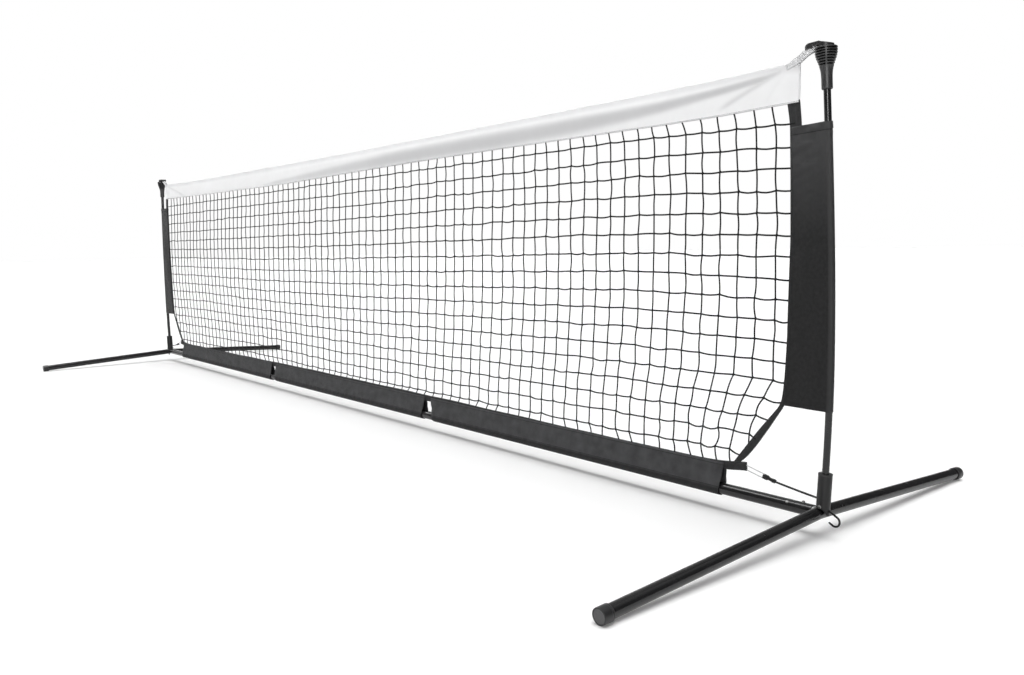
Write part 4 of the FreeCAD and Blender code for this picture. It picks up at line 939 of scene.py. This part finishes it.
def dress(material, *names, sharp=35):
    """Gives CAD nodes their finish. A name that ends in _ means its right and its left node.
    Edges sharper than an angle stay edges."""
    for name in names:
        for side in ("right", "left") if name.endswith("_") else ("",):
            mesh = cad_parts[name + side].data
            mesh.materials.clear()
            mesh.materials.append(material)
            mesh.shade_smooth()
            mesh.set_sharp_from_angle(angle=math.radians(sharp))


tube_finish = paint_finish("satin black tube", (0.008, 0.008, 0.0085), (0.014, 0.014, 0.0145),
                           0.2, 0.12)
dress(tube_finish, "bar_centre", "bar_", "foot_tube_")
socket_finish = paint_finish("satin black socket", (0.003, 0.003, 0.0032), (0.010, 0.010, 0.0105),
                             0.36, 0.1, specular=0.4)
dress(socket_finish, "pole_socket_")
pole_finish = paint_finish("black pole rod", (0.008, 0.008, 0.0085), (0.014, 0.014, 0.0145),
                           0.24, 0.02)
dress(pole_finish, "pole_")
bush_finish = paint_finish("moulded bush", (0.012, 0.012, 0.013), (0.022, 0.022, 0.023), 0.5, 0.3)
dress(bush_finish, "socket_liner_", sharp=50)
drawn_finish = steel_finish("drawn steel", (0.3, 0.3, 0.3), (0.45, 0.45, 0.45), 0.35)
dress(drawn_finish, "foot_stub_")


# Foot caps. Dark grey moulded cups are pushed over the ends of the legs, with a rolled rim, a
# faint ring of draft lines and a rounded end edge.
def lathed(profile, count):
    """Turns a profile of (radius, height) points round Z. Shape (points, count, 3)."""
    turn = full_turn(count)
    r = profile[:, :1]
    height = np.broadcast_to(profile[:, 1:], (len(profile), count))
    return np.stack([r * np.cos(turn), r * np.sin(turn), height], -1)


def aimed(grid, place, way):
    """Moves a shape made round Z so that its foot is at a place and it points along a way."""
    way = unit(np.array(way, float))
    turn = np.array(Vector((0, 0, 1)).rotation_difference(Vector(way)).to_matrix())
    return grid @ turn.T + np.array(place, float)


def rounded_profile(corners, rounding, steps=5):
    """A profile whose inner corners are rounded: each by a short quadratic curve."""
    corners = np.array(corners, float)
    line = [corners[:1]]
    for before, here, after in zip(corners, corners[1:], corners[2:]):
        way_in, way_out = before - here, after - here
        a = here + unit(way_in) * min(rounding, 0.45 * np.linalg.norm(way_in))
        b = here + unit(way_out) * min(rounding, 0.45 * np.linalg.norm(way_out))
        t = np.linspace(0, 1, steps)[:, None]
        line.append((1 - t) ** 2 * a + 2 * t * (1 - t) * here + t ** 2 * b)
    return np.concatenate(line + [corners[-1:]])


cap_finish = paint_finish("black moulded cap", (0.012, 0.012, 0.0125), (0.022, 0.022, 0.023), 0.38,
                          0.3)
tree, shader = shader_of(cap_finish)
face_edge = 11.2
face_colour = mixed(tree, noise(tree, place_source(tree, "Object"), 700, 3.0), (0.05, 0.05, 0.051),
                    (0.085, 0.085, 0.087))
recolour(cap_finish, worked_out(tree, "LESS_THAN", one_axis(tree, place_source(tree, "UV"), "Y"),
                                face_edge * mm), face_colour)

# The legs fall from the hub so far that the rounded rims of their caps touch the floor.
hub_x, leg_length, cap_radius, rim_radius = 1829.0, 592.0, 14.0, 1.6
rim_along, rim_off = leg_length - rim_radius, cap_radius - rim_radius
leg_fall = (math.asin((bar_height - rim_radius) / math.hypot(rim_along, rim_off))
            - math.atan2(rim_off, rim_along))
cap_profile = rounded_profile([
    (0, 0.5), (face_edge, 0.5), (11.8, 0), (cap_radius, 0), (cap_radius, 16.5), (13.5, 17),
    (13.5, 18.5), (cap_radius, 19), (cap_radius, 21.6), (12.1, 21.6), (12.1, 20)], 0.9)
uv = np.stack(np.meshgrid(np.arange(65) * 1.4, walked(cap_profile)), -1)
for side, sign in both_sides:
    for word, way in (("front", -1), ("back", 1)):
        leg = np.array([0, way * math.cos(leg_fall), -math.sin(leg_fall)])
        end = np.array([sign * hub_x, 0, bar_height]) + leg * leg_length
        cap = merged(surface(f"cap_{side}_{word}", aimed(lathed(cap_profile, 64), end, -leg),
                             cap_finish, uv=uv, close_v=True, flip=True))
        stand_in(cap, f"foot_cap_{side}_{word}")

# Pole heads. A charcoal moulding pushed on each pole's tip: a smooth collar that flares into a
# ribbed cup, with grip grooves that stop at three upright webs, under a smooth hood.
head_finish = paint_finish("charcoal moulding", (0.010, 0.010, 0.0105), (0.018, 0.018, 0.0188),
                           0.42, 0.04)
grip_finish = paint_finish("charcoal grip", (0.016, 0.016, 0.0168), (0.026, 0.026, 0.027), 0.42,
                           0.04)
tree, shader = shader_of(grip_finish)
# Painted shade: the grooves are painted near black and reflect less, as if shaded in the hollows.
groove_painted_shade = shade_share(tree)
recolour(grip_finish, groove_painted_shade, (0.001, 0.001, 0.001))
tree.links.new(blended(tree, groove_painted_shade, 0.6, 0.05), shader.inputs["Specular IOR Level"])

cup_heights = np.array([0.0, 19.0, 30.0, 38.0, 45.0, 50.5, 58.5, 67.0, 74.5])
cup_radii = np.array([9.8, 9.8, 10.2, 11.6, 13.9, 16.0, 18.8, 20.0, 20.0])


def cup_grid():
    """Radius over height and turn: an outline through a few measured radii, less a groove at even
    steps that stops at the webs, less the pocket where the loop passes inboard. Returns the grid
    and how deep in a groove each point is."""
    top = cup_heights[-1]
    height = np.unique(np.concatenate([np.linspace(0, 40, 26), np.linspace(40, top, 170)]))
    turn = full_turn(144)
    step = (height - 43.2 + 2.25) % 4.5 - 2.25
    groove = blend_in(-np.abs(step), -1.35, -0.95) * ((height > 41) & (height < 72.5))
    web_turn = turn % (2 * math.pi / 3) - math.pi / 3
    outline = np.interp(height + np.linspace(-5, 5, 9)[:, None], cup_heights, cup_radii).mean(0)
    height = height[:, None]
    radius = outline[:, None]
    web = blend_in(-np.abs(web_turn) * radius, -2.0, -1.2)
    cut = groove[:, None] * (1 - web)
    radius = radius - 2.3 * cut
    radius = radius - 1.2 * blend_in(height, 73.0, top) ** 2 - 0.8 * blend_in(-height, -1, 0)
    inboard = -np.cos(turn)
    pocket = (height > 64) & (inboard > 0) & (np.abs(np.sin(turn)) * radius < 6.5)
    radius = np.where(pocket, np.minimum(radius, 9 / np.maximum(inboard, 0.2)), radius)
    shell = np.stack([radius * np.cos(turn), radius * np.sin(turn),
                      np.broadcast_to(height, radius.shape)], -1)
    rings = [shell[:1] * [0, 0, 1], shell[:1] * [0.66, 0.66, 1], shell,
             shell[-1:] * [0.5, 0.5, 1], shell[-1:] * [0, 0, 1]]
    cut = np.concatenate([0 * cut[:2], cut, 0 * cut[:2]])
    cut = np.concatenate([cut, cut[:, :1]], 1)
    return np.concatenate(rings), np.stack([cut, cut], -1)


cup, cut = cup_grid()
cup = aimed(cup, head_base, head_axis)
for side, sign in both_sides:
    grip = merged(surface("cup_" + side, cup * [sign, 1, 1], grip_finish, uv=cut, shade=cut,
                          close_v=True, flip=sign < 0))
    grip.data.set_sharp_from_angle(angle=math.radians(50))
    stand_in(grip, "pole_cup_" + side)


def remade(name, node, material, reach):
    """A piece with the node's own shape, whose faces are joined within a reach in metres."""
    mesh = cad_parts[node].data.copy()
    mesh.name = name
    mesh.materials.clear()
    return merged(finished(name, mesh, material), reach)


def softened(name, node, voxel, rounds, material):
    """A moulded piece with rounded edges: the node's shape, remade in small cells and smoothed."""
    piece = remade(name, node, material, 1e-6)
    cells = piece.modifiers.new("cells", "REMESH")
    cells.mode = "VOXEL"
    cells.voxel_size = voxel * mm
    cells.use_smooth_shade = True
    soften = piece.modifiers.new("soften", "SMOOTH")
    soften.iterations = rounds
    soften.factor = 0.5
    stand_in(piece, node)
    return piece


hood_x = np.array([1792.0, 1798.0, 1806.0, 1818.0, 1832.0])
hood_lift = np.array([3.0, 2.5, 1.0, -3.5, -6.0])
for side, sign in both_sides:
    hood = softened("hood_" + side, "loop_hook_" + side, 0.55, 6, head_finish)
    points = np.zeros(len(hood.data.vertices) * 3)
    hood.data.vertices.foreach_get("co", points)
    points = points.reshape(-1, 3)
    out = np.abs(points[:, 0]) / mm
    thin = 0.3 * (1 - blend_in(out, 1798, 1812))
    points[:, 2] += np.interp(out, hood_x, hood_lift) * mm + thin * (0.905 - points[:, 2])
    hood.data.vertices.foreach_set("co", points.ravel())

# Corner tensioners. A plated wire ring is sewn into each tab, and a moulded black clip snaps on
# it and takes the elastic cord.
clip_finish = paint_finish("moulded black clip", (0.002, 0.002, 0.0022), (0.006, 0.006, 0.0063),
                           0.3, 0.1, specular=0.3)
ring_finish = steel_finish("plated ring wire", (0.45, 0.45, 0.45), (0.6, 0.6, 0.6), 0.5)
shader_of(ring_finish)[1].inputs["Metallic"].default_value = 0.35
ring_near = np.array([1661.0, 0, 101.6])
ring_far = np.array([1708.0, 0, 90.5])
ring_corner, ring_half_run, ring_wire_radius = 3.0, 1.5, 1.1
ring_way = unit(ring_far - ring_near)
ring_up = np.array([-ring_way[2], 0, ring_way[0]])


def arc(centre, radius, first, second, angles):
    """Points round a centre, which turn from a first way to a second way square to it."""
    return centre + radius * (np.cos(angles)[:, None] * first + np.sin(angles)[:, None] * second)


def ring_path():
    """The ring's middle line: a quarter circle round each of four centres, joined by runs."""
    quarter = np.linspace(0, math.pi / 2, 8)
    far, near = ring_far - ring_way * ring_corner, ring_near + ring_way * ring_corner
    side = ring_up * ring_half_run
    return np.concatenate([arc(centre, ring_corner, first, second, quarter)
                           for centre, first, second in (
                               (far + side, ring_up, ring_way), (far - side, ring_way, -ring_up),
                               (near - side, -ring_up, -ring_way),
                               (near + side, -ring_way, ring_up))])


ring_grid = tube_rings(ring_path(), ring_wire_radius, 14, True)
for side, sign in both_sides:
    ring = surface("ring_" + side, ring_grid * [sign, 1, 1], ring_finish, close_u=True,
                   close_v=True, flip=sign < 0)
    stand_in(ring, "tension_ring_" + side)
    softened("clip_" + side, "tension_clip_" + side, 0.3, 4, clip_finish)

# Anchor hooks. Black coated wire, bent to an open bow that hangs tilted from each socket's flap.
hook_finish = paint_finish("black coated wire", (0.003, 0.003, 0.0032), (0.007, 0.007, 0.0073),
                           0.3, 0.1, specular=0.35)
hook_tilt = math.radians(29)
hook_down = np.array([math.cos(hook_tilt), 0, -math.sin(hook_tilt)])
hook_rise = np.array([math.sin(hook_tilt), 0, math.cos(hook_tilt)])
bow_centre = np.array([1860.8, 0, 34.8])
bow_radius = 9.6
hook_line = np.concatenate([
    bow_centre + hook_rise * bow_radius - hook_down * np.linspace(21, 1, 9)[:, None],
    arc(bow_centre, bow_radius, hook_rise, hook_down, np.linspace(0, math.pi, 30)),
    bow_centre - hook_rise * bow_radius - hook_down * np.linspace(1, 8.6, 5)[:, None]])
wire_radius = np.full(len(hook_line), 1.95)
wire_radius[[0, -1]] = 1.4


def capped(rings):
    """Adds a first and a last ring drawn in to a point, so that a tube's ends are closed."""
    first, last = [np.broadcast_to(ring.mean(0), (1, *ring.shape)) for ring in rings[[0, -1]]]
    return np.concatenate([first, rings, last])


hook_grid = capped(tube_rings(hook_line, wire_radius, 18))
for side, sign in both_sides:
    hook = merged(surface("hook_" + side, hook_grid * [sign, 1, 1], hook_finish, close_v=True,
                          flip=sign < 0))
    stand_in(hook, "anchor_hook_" + side)

# Buttons and rivets. Plated snap buttons stand out of the bar's holes on leaf springs, and domed
# rivets key the tubes and cross the sockets' feet.
bright_finish = steel_finish("plated steel", (0.12, 0.12, 0.12), (0.24, 0.24, 0.235), 0.35)
button_places = (("foot", 1795.0), ("bar", 626.5))
button_profile = rounded_profile([(0, 7.01), (4.5, 7.01), (4.5, 8.21), (3, 8.21), (3, 13.6),
                                  (2.3, 15.0), (1.2, 15.5), (0, 15.5)], 0.5)
for place, x in button_places:
    for side, sign in both_sides:
        name = f"{place}_button_{side}"
        grid = lathed(button_profile, 32) + [sign * x, 0, bar_height]
        button = merged(surface("snap_" + name, grid, bright_finish, close_v=True, flip=True,
                                body=name))
        stand_in(button, name)
dress(bright_finish, "key_rivets", "socket_rivet_", sharp=50)

# Leaf springs. A bent steel strip in each inner tube pushes a button up, and its free end goes
# down with the button when it is pressed.
spring_finish = steel_finish("tempered strip", (0.25, 0.25, 0.26), (0.4, 0.4, 0.41), 0.3)
for place, x in button_places:
    for side, sign in both_sides:
        name = f"{place}_spring_{side}"
        leaf = remade("leaf_" + name, name, spring_finish, 1e-7)
        leaf.data.set_sharp_from_angle(angle=math.radians(35))
        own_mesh(leaf)
        stand_in(leaf, name)
